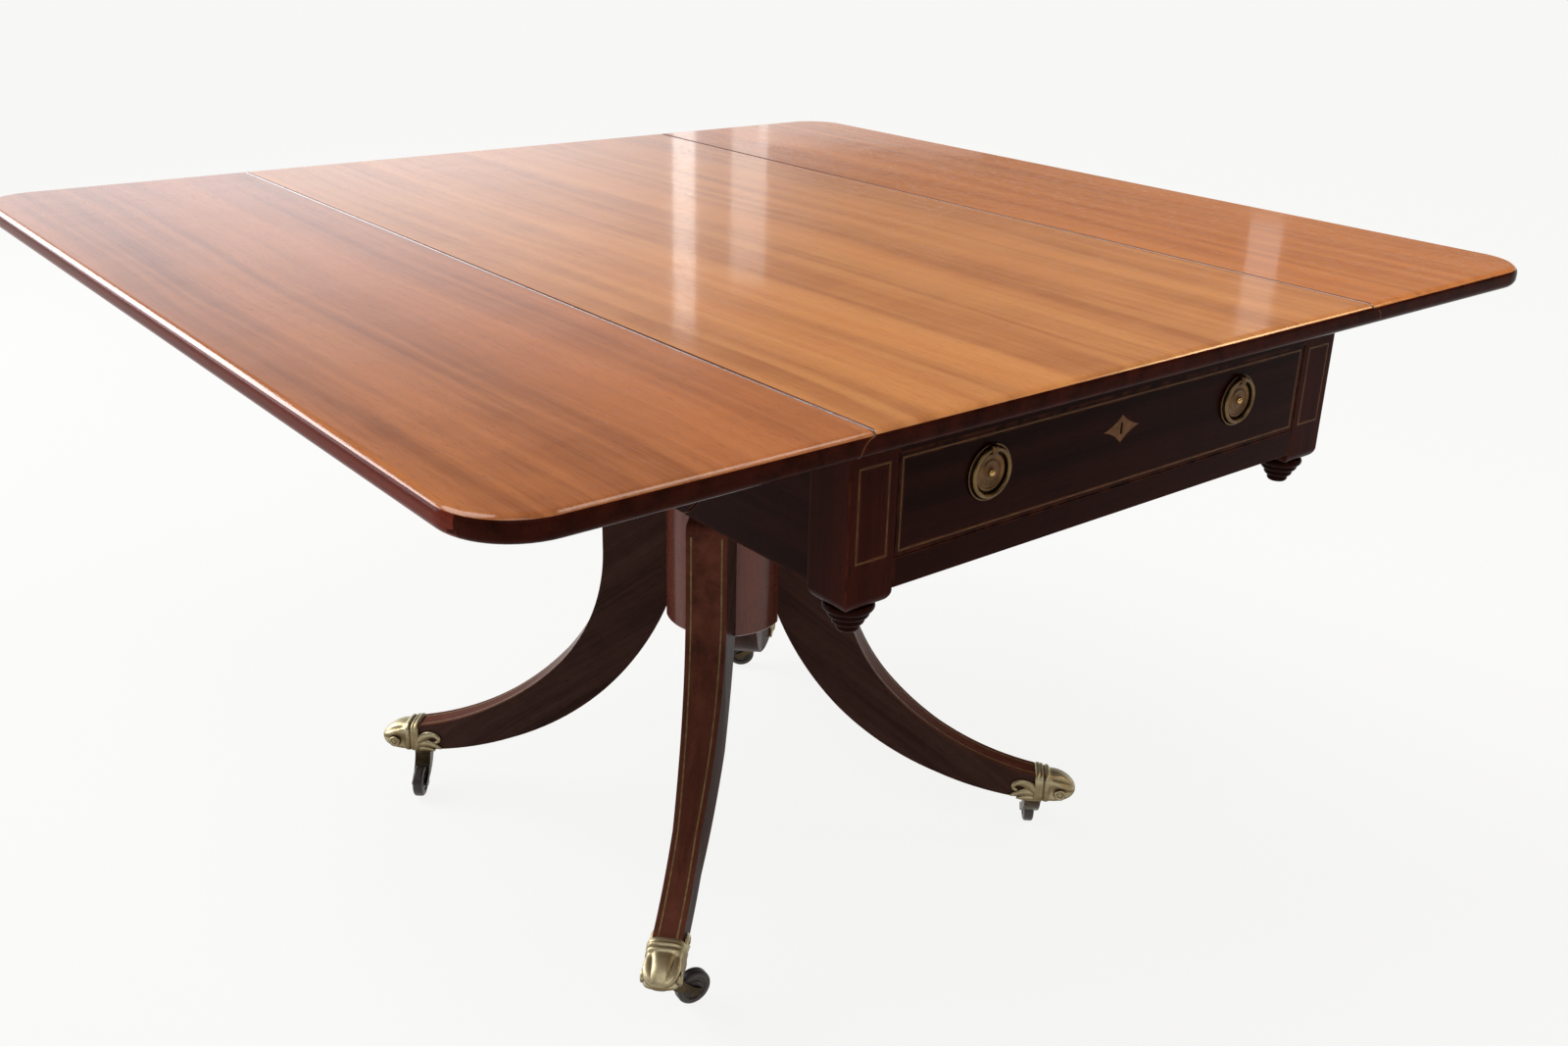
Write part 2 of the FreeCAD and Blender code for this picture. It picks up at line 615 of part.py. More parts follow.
def make_posts():
    """Square corner posts with a chamfered foot and the groove of an inlaid line on the end face."""
    for name, side, end in corners_of_frame():
        body = new_body(f"post_{name}")
        half_width = "post_width / 2"
        half_depth = "post_depth / 2"
        plan = outline(body, "plan", "XY_Plane", [box_loop(
            f"-{half_width}", f"-{half_depth}", half_width, half_depth,
        )], lift=POST_BOTTOM)
        shaft = pad(body, plan, "post_bottom")
        foot = value(POST_BOTTOM)
        round_edges(
            "Chamfer", body, shaft, "post_chamfer",
            lambda edge: edge.BoundBox.ZMax < foot + TOUCH,
        )
        groove = outline(
            body, "groove", "XZ_Plane",
            frame_loops(
                f"({half_width} - post_string_inset)", POST_LINE_LOW, POST_LINE_HIGH,
                "string_width", "string_play",
            ),
            lift=half_depth,
        )
        pocket(body, groove, "string_depth + string_play")
        across = f"{side} * ({POST_FACE} - post_width / 2)"
        along = f"{end} * ({FRAME_END} - post_depth / 2)"
        place(body, across, along, degrees=0 if end < 0 else HALF_TURN)
        node(body, f"post_{name}")


def make_corner_drops():
    """Turned drops under the posts: a stack of diminishing rings with rounded rims."""
    drops = []
    for name, side, end in corners_of_frame():
        body = new_body(f"drop_{name}")
        corners = [("0", POST_BOTTOM)]
        for ring in range(DROP_RINGS):
            radius = f"(drop_radius - (drop_radius - drop_tip) * {ring} / {DROP_RINGS - 1})"
            upper = f"{POST_BOTTOM} - drop_height * {ring} / {DROP_RINGS}"
            lower = f"{POST_BOTTOM} - drop_height * {ring + 1} / {DROP_RINGS}"
            corners.append((radius, upper, f"-{RIM_ROUND} * drop_height / {DROP_RINGS}"))
            corners.append((radius, lower))
        corners.append(("0", f"{POST_BOTTOM} - drop_height"))
        turn(body, "profile", corners)
        across = f"{side} * ({POST_FACE} - post_width / 2)"
        along = f"{end} * ({FRAME_END} - post_depth / 2)"
        drops.append(place(body, across, along))
    group("corner_drops", drops)


def make_side_rails():
    """Inner side rails, between the posts."""
    for side, inner, outer in (
        ("left", f"-{RAIL_FACE}", f"-{POST_INNER}"),
        ("right", POST_INNER, RAIL_FACE),
    ):
        low = (inner, f"-{POST_BACK}", RAIL_BOTTOM)
        high = (outer, POST_BACK, UNDERSIDE)
        node(board(f"side_rail_{side}", low, high), f"side_rail_{side}")


def knuckle_cuts(levels, start, end):
    """Rectangles that clear the given knuckle levels between two distances along the rail."""
    loops = []
    for level in levels:
        low = f"{RAIL_BOTTOM} + {level} * {KNUCKLE_HEIGHT} - knuckle_play / 2"
        high = f"{RAIL_BOTTOM} + {level + 1} * {KNUCKLE_HEIGHT} + knuckle_play / 2"
        loops.append(box_loop(start, low, end, high))
    return loops


def ogee_end(side, shift, top):
    """Corners of the bracket's ogee end from its lower edge to its upper tip, moved along by a shift."""
    upper = f"{side} * (fly_pivot + bracket_length + {shift})"
    middle = f"{side} * (fly_pivot + bracket_length - bracket_undercut / 2 + {shift})"
    lower = f"{side} * (fly_pivot + bracket_length - bracket_undercut + {shift})"
    half_height = f"({RAIL_BOTTOM} + {top}) / 2"
    return [
        (lower, RAIL_BOTTOM, f"{side} * bracket_curve"),
        (middle, half_height, f"{-side} * bracket_curve"),
        (upper, top),
    ]


def make_fly_rail(label, degrees):
    """Fixed lengths of an outer side rail: the middle with its knuckles and the two ends."""
    middle = new_body(f"{label}_middle")
    shoulder = f"(fly_pivot - {KNUCKLE} - knuckle_play)"
    plan = outline(middle, "plan", "XY_Plane", [[
        (RAIL_FACE, f"-{shoulder}"),
        (FLY_BACK, f"-{shoulder}"),
        (FLY_BACK, "-fly_pivot", f"{HALF_ROUND} * {KNUCKLE}"),
        (FLY_FACE, "-fly_pivot"),
        (FLY_FACE, "fly_pivot", f"{HALF_ROUND} * {KNUCKLE}"),
        (FLY_BACK, "fly_pivot"),
        (FLY_BACK, shoulder),
        (RAIL_FACE, shoulder),
    ]], lift=RAIL_BOTTOM)
    pad(middle, plan, "rail_bottom")
    beyond = "(fly_pivot + fly_thickness)"
    loops = knuckle_cuts((1, 3), shoulder, beyond) + knuckle_cuts((1, 3), f"-{beyond}", f"-{shoulder}")
    pocket(middle, outline(middle, "spaces", "YZ_Plane", loops), centred=True)
    holes = [(FLY_AXIS, f"{end} * fly_pivot", "fly_pin + pin_clearance") for end in (-1, 1)]
    pocket(middle, outline(middle, "holes", "XY_Plane", circles=holes), centred=True)
    lengths = [place(middle, degrees=degrees)]
    for side, word in ((-1, "front"), (1, "back")):
        end = new_body(f"{label}_{word}")
        corners = ogee_end(side, "bracket_kerf", UNDERSIDE)
        corners += [(f"{side} * {POST_BACK}", UNDERSIDE), (f"{side} * {POST_BACK}", RAIL_BOTTOM)]
        elevation = outline(end, "elevation", "YZ_Plane", [corners], lift=RAIL_FACE)
        pad(end, elevation, f"{FLY_FACE} - {RAIL_FACE}")
        lengths.append(place(end, degrees=degrees))
    group(label, lengths)


def make_fly_bracket(label, side, degrees):
    """Swinging length of an outer side rail, with an ogee end and two wooden knuckles."""
    body = new_body(label)
    top = f"({UNDERSIDE} - bracket_drop)"
    corners = [(f"{side} * fly_pivot", RAIL_BOTTOM)]
    corners += ogee_end(side, "0", top)
    corners += [(f"{side} * fly_pivot", top)]
    elevation = outline(body, "elevation", "YZ_Plane", [corners], lift=FLY_BACK)
    pad(body, elevation, "fly_thickness")
    barrel = outline(
        body, "barrel", "XY_Plane",
        circles=[(FLY_AXIS, f"{side} * fly_pivot", KNUCKLE)], lift=RAIL_BOTTOM,
    )
    pad(body, barrel, f"{top} - {RAIL_BOTTOM}")
    before = f"{side} * (fly_pivot - fly_thickness)"
    shoulder = f"{side} * (fly_pivot + {KNUCKLE} + knuckle_play)"
    loops = knuckle_cuts((0, 2, 4), before, shoulder)
    pocket(body, outline(body, "spaces", "YZ_Plane", loops), centred=True)
    hole = [(FLY_AXIS, f"{side} * fly_pivot", "fly_pin + pin_clearance")]
    pocket(body, outline(body, "hole", "XY_Plane", circles=hole), centred=True)
    node(place(body, degrees=degrees), label)


def make_outer_sides():
    """Outer side rails, their four brackets and the pins."""
    make_fly_rail("fly_rail_right", 0)
    make_fly_rail("fly_rail_left", HALF_TURN)
    make_fly_bracket("fly_bracket_front_right", -1, 0)
    make_fly_bracket("fly_bracket_back_right", 1, 0)
    make_fly_bracket("fly_bracket_front_left", 1, HALF_TURN)
    make_fly_bracket("fly_bracket_back_left", -1, HALF_TURN)
    length = "rail_bottom - bracket_drop"
    pins = []
    for name, side, end in corners_of_frame():
        across = f"{side} * {FLY_AXIS}"
        pins.append(rod(f"fly_pin_{name}", "fly_pin", length, across, f"{end} * fly_pivot", RAIL_BOTTOM))
    group("fly_pins", pins)


def make_end_rails():
    """Rails above and below the drawer, with the mortise of the lock's bolt, and the drawer's guides."""
    front = f"-{FRAME_END}"
    rail = board(
        "top_rail_board", (f"-{POST_INNER}", front, OPENING_TOP),
        (POST_INNER, f"top_rail_depth - {FRAME_END}", UNDERSIDE),
    )
    play = "mortise_play"
    mortise = board(
        "bolt_mortise",
        (f"-bolt_width / 2 - {play}", f"{bolt_back()} - bolt_thickness - {play}", OPENING_BOTTOM),
        (f"bolt_width / 2 + {play}", f"{bolt_back()} + {play}", f"{BOLT_TOP} + bolt_travel + {play}"),
    )
    node(cut("drawer_rail_top", rail, mortise), "drawer_rail_top")
    lower = board(
        "drawer_rail_bottom", (f"-{POST_INNER}", front, RAIL_BOTTOM),
        (POST_INNER, f"rail_thickness - {FRAME_END}", OPENING_BOTTOM),
    )
    node(lower, "drawer_rail_bottom")
    inside = f"({POST_INNER} - runner_width)"
    back = f"({FRAME_END} - rail_thickness)"
    runners = []
    kickers = []
    for word, low, high in (("left", f"-{POST_INNER}", f"-{inside}"), ("right", inside, POST_INNER)):
        runners.append(board(
            f"runner_{word}", (low, f"rail_thickness - {FRAME_END}", BEARER_TOP),
            (high, back, OPENING_BOTTOM),
        ))
        kickers.append(board(
            f"kicker_{word}", (low, f"top_rail_depth - {FRAME_END}", OPENING_TOP),
            (high, back, UNDERSIDE),
        ))
    group("drawer_runners", runners)
    group("drawer_kickers", kickers)


def kite_loop(play):
    """Four-pointed escutcheon with hollow sides, grown by a play."""
    half_width = f"(kite_width / 2 + {play})"
    half_height = f"(kite_height / 2 + {play})"
    return [
        (f"-{half_width}", KITE_MIDDLE, "-kite_curve"),
        ("0", f"{KITE_MIDDLE} - {half_height}", "-kite_curve"),
        (half_width, KITE_MIDDLE, "-kite_curve"),
        ("0", f"{KITE_MIDDLE} + {half_height}", "-kite_curve"),
    ]


def keyhole_loop():
    """Upright slot with round ends."""
    half = "keyhole_width / 2"
    low = f"{KITE_MIDDLE} - keyhole_height / 2 + {half}"
    high = f"{KITE_MIDDLE} + keyhole_height / 2 - {half}"
    return [
        (f"-{half}", low, f"{HALF_ROUND} * {half}"),
        (half, low),
        (half, high, f"{HALF_ROUND} * {half}"),
        (f"-{half}", high),
    ]


def front_line(play="0"):
    """Inlaid line round the drawer front or its dummy."""
    return frame_loops(
        f"({DRAWER_HALF} - front_string_inset)", f"({DRAWER_LOW} + front_string_inset)",
        f"({DRAWER_HIGH} - front_string_inset)", "string_width", play,
    )


def inlay(label, loops, face, degrees=0, across="0", along="0"):
    """Thin piece let flush into a face that looks towards -Y."""
    body = new_body(label)
    sketch = outline(body, "line", "XZ_Plane", loops, lift=face)
    pad(body, sketch, "string_depth", backwards=True)
    return place(body, across, along, degrees=degrees)


def sink_inlays(body, face):
    """Grooves for the inlaid line and the escutcheon in a front."""
    groove = outline(body, "groove", "XZ_Plane", front_line("string_play"), lift=face)
    pocket(body, groove, "string_depth + string_play")
    kite = outline(body, "kite", "XZ_Plane", [kite_loop("string_play")], lift=face)
    pocket(body, kite, "string_depth + string_play")


def make_back_rail():
    """Far end of the frame, marked out as a dummy drawer."""
    body = new_body("back_rail")
    elevation = outline(body, "elevation", "XZ_Plane", [box_loop(
        f"-{POST_INNER}", RAIL_BOTTOM, POST_INNER, UNDERSIDE,
    )], lift=FRAME_END)
    pad(body, elevation, "rail_thickness", backwards=True)
    scribe = outline(
        body, "scribe", "XZ_Plane",
        frame_loops(f"({DRAWER_HALF} + scribe_width / 2)", OPENING_BOTTOM, OPENING_TOP, "scribe_width"),
        lift=FRAME_END,
    )
    pocket(body, scribe, "scribe_depth")
    sink_inlays(body, FRAME_END)
    node(place(body, degrees=HALF_TURN), "back_rail")


def make_frame_stringing():
    """Inlaid lines of the four posts and of the dummy front, and the dummy escutcheon."""
    pieces = []
    for name, side, end in corners_of_frame():
        loops = frame_loops(
            "(post_width / 2 - post_string_inset)", POST_LINE_LOW, POST_LINE_HIGH,
            "string_width",
        )
        across = f"{side} * ({POST_FACE} - post_width / 2)"
        turned = 0 if end < 0 else HALF_TURN
        pieces.append(inlay(f"post_line_{name}", loops, FRAME_END, turned, across))
    pieces.append(inlay("back_line", front_line(), FRAME_END, HALF_TURN))
    pieces.append(inlay("back_kite", [kite_loop("0")], FRAME_END, HALF_TURN))
    group("frame_stringing", pieces)


def make_pedestal():
    """Bearers, block and turned column; the column has flats and dovetail slots for the legs."""
    bearers = []
    for word, end in (("front", -1), ("back", 1)):
        middle = f"{end} * bearer_offset"
        bearers.append(board(
            f"bearer_{word}", (f"-{POST_INNER}", f"{middle} - bearer_width / 2", BLOCK_TOP),
            (POST_INNER, f"{middle} + bearer_width / 2", BEARER_TOP),
        ))
    group("pedestal_bearers", bearers)
    block = new_body("pedestal_block")
    half = "block_side / 2"
    plan = outline(
        block, "plan", "XY_Plane", [box_loop(f"-{half}", f"-{half}", half, half)],
        [("0", "0", "column_tenon + seat_clearance")], lift=COLUMN_TOP,
    )
    pad(block, plan, "block_thickness")
    node(block, "pedestal_block")
    column = new_body("pedestal_column")
    turn(column, "profile", [
        ("0", "column_bottom"),
        ("column_radius - column_round", "column_bottom", "column_round"),
        ("column_radius", "column_bottom + column_round"),
        ("column_radius", COLUMN_TOP),
        ("column_tenon", COLUMN_TOP),
        ("column_tenon", BLOCK_TOP),
        ("0", BLOCK_TOP),
    ])
    flat = outline(column, "flat", "XY_Plane", [box_loop(
        LEG_SEAT, "-leg_width", "column_radius + leg_width", "leg_width",
    )], lift="column_bottom")
    seat = pocket(column, flat, "leg_top - column_bottom", backwards=True)
    slot = outline(
        column, "slot", "XY_Plane", [dovetail_loop("seat_clearance", "seat_clearance")],
        lift="column_bottom",
    )
    mortise = pocket(column, slot, "dovetail_top + seat_clearance - column_bottom", backwards=True)
    around = column.newObject("PartDesign::PolarPattern", "column_seats")
    upright = [item for item in column.Origin.OriginFeatures if item.Role == "Z_Axis"]
    around.Originals = [seat, mortise]
    around.Axis = (upright[0], [""])
    around.Angle = 360
    around.Occurrences = 4
    column.Tip = around
    node(place(column, degrees=EIGHTH_TURN), "pedestal_column")


def dovetail_loop(play, overlap):
    """Plan of a leg's dovetail, from the column's flat inwards, grown by a play."""
    neck = f"(dovetail_neck / 2 + {play})"
    wide = f"(dovetail_wide / 2 + {play})"
    inner = f"({LEG_SEAT} - dovetail_depth - {play})"
    outer = f"({LEG_SEAT} + {overlap})"
    return [(inner, f"-{wide}"), (outer, f"-{neck}"), (outer, neck), (inner, wide)]


def upper_curve_corners():
    """Upper edge of a leg, from its foot to the top of its upright face."""
    return [
        ("leg_end", "leg_end_top", "-foot_curve"),
        ("leg_knee_reach", "leg_knee_height", "-upper_curve"),
        ("leg_front", "leg_straight"),
    ]


def leg_quarters():
    """Corner names with the direction of each leg in degrees from +X."""
    return [("front_left", 225), ("front_right", 315), ("back_left", 135), ("back_right", 45)]


def bore_swivel(body):
    """Blind bore for a castor's swivel pin, up through the cap's sole into the end of the leg."""
    bore = outline(
        body, "bore", "XY_Plane",
        circles=[("castor_reach", "0", "pintle_radius + pin_clearance")], lift="cap_bottom",
    )
    pocket(body, bore, "pintle_length + swivel_gap", backwards=True)


def make_leg_blank(label):
    """Sabre leg: sawn to its profile, narrowed towards the foot, with dovetail and tongue."""
    body = new_body(label)
    profile = outline(body, "profile", "XZ_Plane", [
        [(LEG_SEAT, "leg_root", "lower_curve"), ("leg_end", "leg_end_bottom")]
        + upper_curve_corners()
        + [
            ("leg_front", "leg_top - leg_shoulder", "leg_shoulder"),
            ("leg_front - leg_shoulder", "leg_top"),
            (LEG_SEAT, "leg_top"),
        ],
    ])
    pad(body, profile, "leg_width", centred=True)
    tapers = []
    for side in (1, -1):
        tapers.append([
            ("leg_taper_start", f"{side} * leg_width / 2"),
            ("leg_taper_end", f"{side} * leg_end_width / 2"),
            ("leg_end + tongue_length", f"{side} * leg_end_width / 2"),
            ("leg_end + tongue_length", f"{side} * leg_width"),
            ("leg_taper_start", f"{side} * leg_width"),
        ])
    pocket(body, outline(body, "taper", "XY_Plane", tapers), centred=True)
    tongue = outline(body, "tongue", "XZ_Plane", [box_loop(
        "leg_end - tongue_length", "tongue_bottom", "leg_end + tongue_length", "tongue_top",
    )])
    pad(body, tongue, "tongue_width", centred=True)
    dovetail = outline(body, "dovetail", "XY_Plane", [dovetail_loop("0", "0")], lift="dovetail_bottom")
    pad(body, dovetail, "dovetail_top - dovetail_bottom")
    bore_swivel(body)
    return body


def make_leg_lines(label):
    """Two inlaid lines that follow a leg's upper edge, each at the same inset from its side."""
    body = new_body(label)
    slant = "(string_depth * sqrt(0.5))"
    band = upper_curve_corners() + [
        ("leg_front", "leg_string_top"),
        ("leg_front - string_depth", "leg_string_top"),
        ("leg_front - string_depth", "leg_straight", "upper_curve + string_depth"),
        (f"leg_knee_reach - {slant}", f"leg_knee_height - {slant}", "foot_curve + string_depth"),
        ("leg_end", "leg_end_top - string_depth"),
    ]
    pad(body, outline(body, "band", "XZ_Plane", [band]), "leg_width", centred=True)
    outer = "(leg_width / 2 - leg_string_inset)"
    outer_end = "(leg_end_width / 2 - leg_string_inset)"
    inner = f"({outer} - string_width)"
    inner_end = f"({outer_end} - string_width)"
    beyond = "leg_end + tongue_length"
    waste = [[
        ("0", f"-{inner}"),
        ("leg_taper_start", f"-{inner}"),
        ("leg_taper_end", f"-{inner_end}"),
        (beyond, f"-{inner_end}"),
        (beyond, inner_end),
        ("leg_taper_end", inner_end),
        ("leg_taper_start", inner),
        ("0", inner),
    ]]
    for side in (1, -1):
        waste.append([
            ("0", f"{side} * {outer}"),
            ("leg_taper_start", f"{side} * {outer}"),
            ("leg_taper_end", f"{side} * {outer_end}"),
            (beyond, f"{side} * {outer_end}"),
            (beyond, f"{side} * leg_width"),
            ("0", f"{side} * leg_width"),
        ])
    pocket(body, outline(body, "waste", "XY_Plane", waste), centred=True)
    return body


def make_legs():
    """Four legs with their inlaid lines."""
    lines = []
    for name, degrees in leg_quarters():
        blank = place(make_leg_blank(f"leg_blank_{name}"), degrees=degrees)
        line = place(make_leg_lines(f"leg_lines_{name}"), degrees=degrees)
        lines.append(line)
        node(cut(f"leg_{name}", blank, line), f"leg_{name}")
    group("leg_stringing", lines)


def make_castor_caps():
    """Brass toe caps: a three-lobed toe, a collar of two mouldings, a socket and a swivel bore."""
    caps = []
    for name, degrees in leg_quarters():
        body = new_body(f"castor_cap_{name}")
        bead_start = "(leg_end + collar_length + bead_gap)"
        brow = f"({CAP_TOE} - cap_toe_round)"
        brow_height = "(cap_crown - cap_toe_drop)"
        profile = outline(body, "profile", "XZ_Plane", [[
            ("leg_end", "cap_bottom"),
            (f"{CAP_TOE} - cap_toe_sweep", "cap_bottom", f"{TOE_ROUND} * cap_toe_sweep"),
            (CAP_TOE, f"{brow_height} - cap_toe_round", f"{TOE_ROUND} * cap_toe_round"),
            (brow, brow_height),
            (f"{bead_start} + bead_length", "cap_crown"),
            ("leg_end", "cap_crown"),
        ]])
        pad(body, profile, "cap_width", centred=True)
        sole = outline(body, "sole", "XY_Plane", [[
            ("leg_end - sole_length", "-leg_end_width / 2"),
            ("leg_end + collar_length", "-leg_end_width / 2"),
            ("leg_end + collar_length", "leg_end_width / 2"),
            ("leg_end - sole_length", "leg_end_width / 2", "leg_end_width"),
        ]], lift="cap_bottom")
        pad(body, sole, "sole_thickness")
        lobe = "(cap_width / 3)"
        shelf = f"({brow} - cap_toe_round / 2)"
        toe = f"({CAP_TOE} - cap_toe_round / 2)"
        waste = outline(body, "lobes", "XY_Plane", [[
            (shelf, "-cap_width / 2", "cap_width"),
            (toe, f"-{lobe}", f"{RIM_ROUND} * {lobe}"),
            (toe, f"-{lobe} / 2", f"{RIM_ROUND} * {lobe}"),
            (toe, f"{lobe} / 2", f"{RIM_ROUND} * {lobe}"),
            (toe, lobe, "cap_width"),
            (shelf, "cap_width / 2"),
            (f"{CAP_TOE} + cap_length", "cap_width / 2"),
            (f"{CAP_TOE} + cap_length", "-cap_width / 2"),
        ]])
        pocket(body, waste, centred=True)
        for word, start, length, width, top in (
            ("collar", "leg_end", "collar_length", "collar_width", "collar_height"),
            ("bead", bead_start, "bead_length", "bead_width", "bead_height"),
        ):
            section = outline(body, word, "XZ_Plane", [[
                (start, "cap_bottom"),
                (f"{start} + {length}", "cap_bottom"),
                (f"{start} + {length}", f"{top} - {length} / 4", f"{RIM_ROUND} * {length}"),
                (start, f"{top} - {length} / 4"),
            ]])
            pad(body, section, width, centred=True)
        socket = outline(body, "socket", "XZ_Plane", [box_loop(
            "leg_end - tongue_length", "tongue_bottom - seat_clearance",
            "leg_end + tongue_length + seat_clearance", "tongue_top + seat_clearance",
        )])
        pocket(body, socket, "tongue_width + 2 * seat_clearance", centred=True)
        bore_swivel(body)
        caps.append(place(body, degrees=degrees))
    group("castor_caps", caps)


def castor_spot(degrees):
    """Foot of a castor's swivel axis, as two formulas."""
    direction = math.radians(degrees)
    across = f"castor_reach * {round(math.cos(direction), 9)}"
    along = f"castor_reach * {round(math.sin(direction), 9)}"
    return across, along


def make_castor_horn(name, spot, heading):
    """Castor horn: swivel pin, flange and two hollow-sided cheeks, with the wheel's axle."""
    body = new_body(f"horn_{name}")
    turn(body, "swivel", [
        ("0", FLANGE_FOOT),
        ("flange_radius", FLANGE_FOOT),
        ("flange_radius", FLANGE_TOP),
        ("pintle_radius", FLANGE_TOP),
        ("pintle_radius", f"{FLANGE_TOP} + pintle_length"),
        ("0", f"{FLANGE_TOP} + pintle_length"),
    ])
    overlap = f"({FLANGE_FOOT} + flange_thickness / 2)"
    half = f"({HORN_WIDTH} / 2)"
    cheeks = outline(body, "cheeks", "XZ_Plane", [[
        (f"-{half}", overlap),
        (f"-{half}", FLANGE_FOOT, "cheek_curve"),
        ("castor_trail - cheek_boss", "wheel_radius", f"{HALF_ROUND} * cheek_boss"),
        ("castor_trail + cheek_boss", "wheel_radius", "-cheek_curve"),
        (half, FLANGE_FOOT),
        (half, overlap),
    ]])
    pad(body, cheeks, HORN_WIDTH, centred=True)
    slot = outline(
        body, "slot", "XZ_Plane", circles=[("castor_trail", "wheel_radius", "wheel_radius + tread_play")],
    )
    pocket(body, slot, HORN_SLOT, centred=True)
    hole = outline(
        body, "hole", "XZ_Plane",
        circles=[("castor_trail", "wheel_radius", "axle_radius + pin_clearance")],
    )
    pocket(body, hole, centred=True)
    axle = new_body(f"axle_{name}")
    section = outline(axle, "section", "XZ_Plane", circles=[("castor_trail", "wheel_radius", "axle_radius")])
    pad(axle, section, HORN_WIDTH, centred=True)
    for piece in (body, axle):
        place(piece, *spot, degrees=heading)
    group(f"castor_horn_{name}", [body, axle])


def make_castor_wheel(name, spot, heading):
    """Castor wheel: rounded tread, dished sides and a hub."""
    body = new_body(f"castor_wheel_{name}")
    half = "wheel_width / 2"
    web = f"({half} - wheel_dish)"
    rim = "(wheel_radius - 2 * wheel_round)"
    bore = "(axle_radius + pin_clearance)"
    profile = outline(body, "profile", "YZ_Plane", [[
        (f"-{half}", bore),
        (half, bore),
        (half, "wheel_hub"),
        (web, "wheel_hub + wheel_dish"),
        (web, f"{rim} - wheel_dish"),
        (half, rim),
        (half, "wheel_radius - wheel_round", "wheel_round"),
        (f"{half} - wheel_round", "wheel_radius"),
        (f"wheel_round - {half}", "wheel_radius", "wheel_round"),
        (f"-{half}", "wheel_radius - wheel_round"),
        (f"-{half}", rim),
        (f"-{web}", f"{rim} - wheel_dish"),
        (f"-{web}", "wheel_hub + wheel_dish"),
        (f"-{half}", "wheel_hub"),
    ]])
    wheel = body.newObject("PartDesign::Revolution", f"{profile.Name}_turned")
    wheel.Profile = profile
    wheel.ReferenceAxis = (profile, ["H_Axis"])
    wheel.Angle = 360
    direction = math.radians(heading)
    across = f"{spot[0]} + castor_trail * {round(math.cos(direction), 9)}"
    along = f"{spot[1]} + castor_trail * {round(math.sin(direction), 9)}"
    node(place(body, across, along, "wheel_radius", heading), f"castor_wheel_{name}")


def make_castors():
    """Four castors, each at rest with its wheel trailing its own way."""
    for name, degrees in leg_quarters():
        spot = castor_spot(degrees)
        make_castor_horn(name, spot, CASTOR_HEADINGS[name])
        make_castor_wheel(name, spot, CASTOR_HEADINGS[name])


def bolt_back():
    """Back face of the lock's bolt, seen along Y."""
    return f"(lock_thickness / 2 + bolt_thickness / 2 - {DRAWER_INSIDE})"


def dovetail(count, play="0"):
    """Corners of one dovetail of a drawer side, seen along X and counted from the top."""
    middle = f"({SIDE_TOP} - tail_top - tail_wide / 2 - {count} * tail_pitch)"
    root = f"-{DRAWER_INSIDE}"
    end = f"({root} - tail_length - {play})"
    return [
        (root, f"{middle} + tail_neck / 2 + {play}"),
        (end, f"{middle} + tail_wide / 2 + {play}"),
        (end, f"{middle} - tail_wide / 2 - {play}"),
        (root, f"{middle} - tail_neck / 2 - {play}"),
    ]


def make_drawer_side(word, lift):
    """Drawer side with the dovetails of its front end, its outer or inner face at the given lift."""
    body = new_body(f"lining_{word}")
    corners = [
        (f"-{DRAWER_INSIDE}", DRAWER_LOW),
        (f"-{DRAWER_END}", DRAWER_LOW),
        (f"-{DRAWER_END}", SIDE_TOP),
        (f"-{DRAWER_INSIDE}", SIDE_TOP),
    ]
    for count in range(DRAWER_TAILS):
        corners.extend(dovetail(count))
    pad(body, outline(body, "elevation", "YZ_Plane", [corners], lift=lift), "lining")
    return body


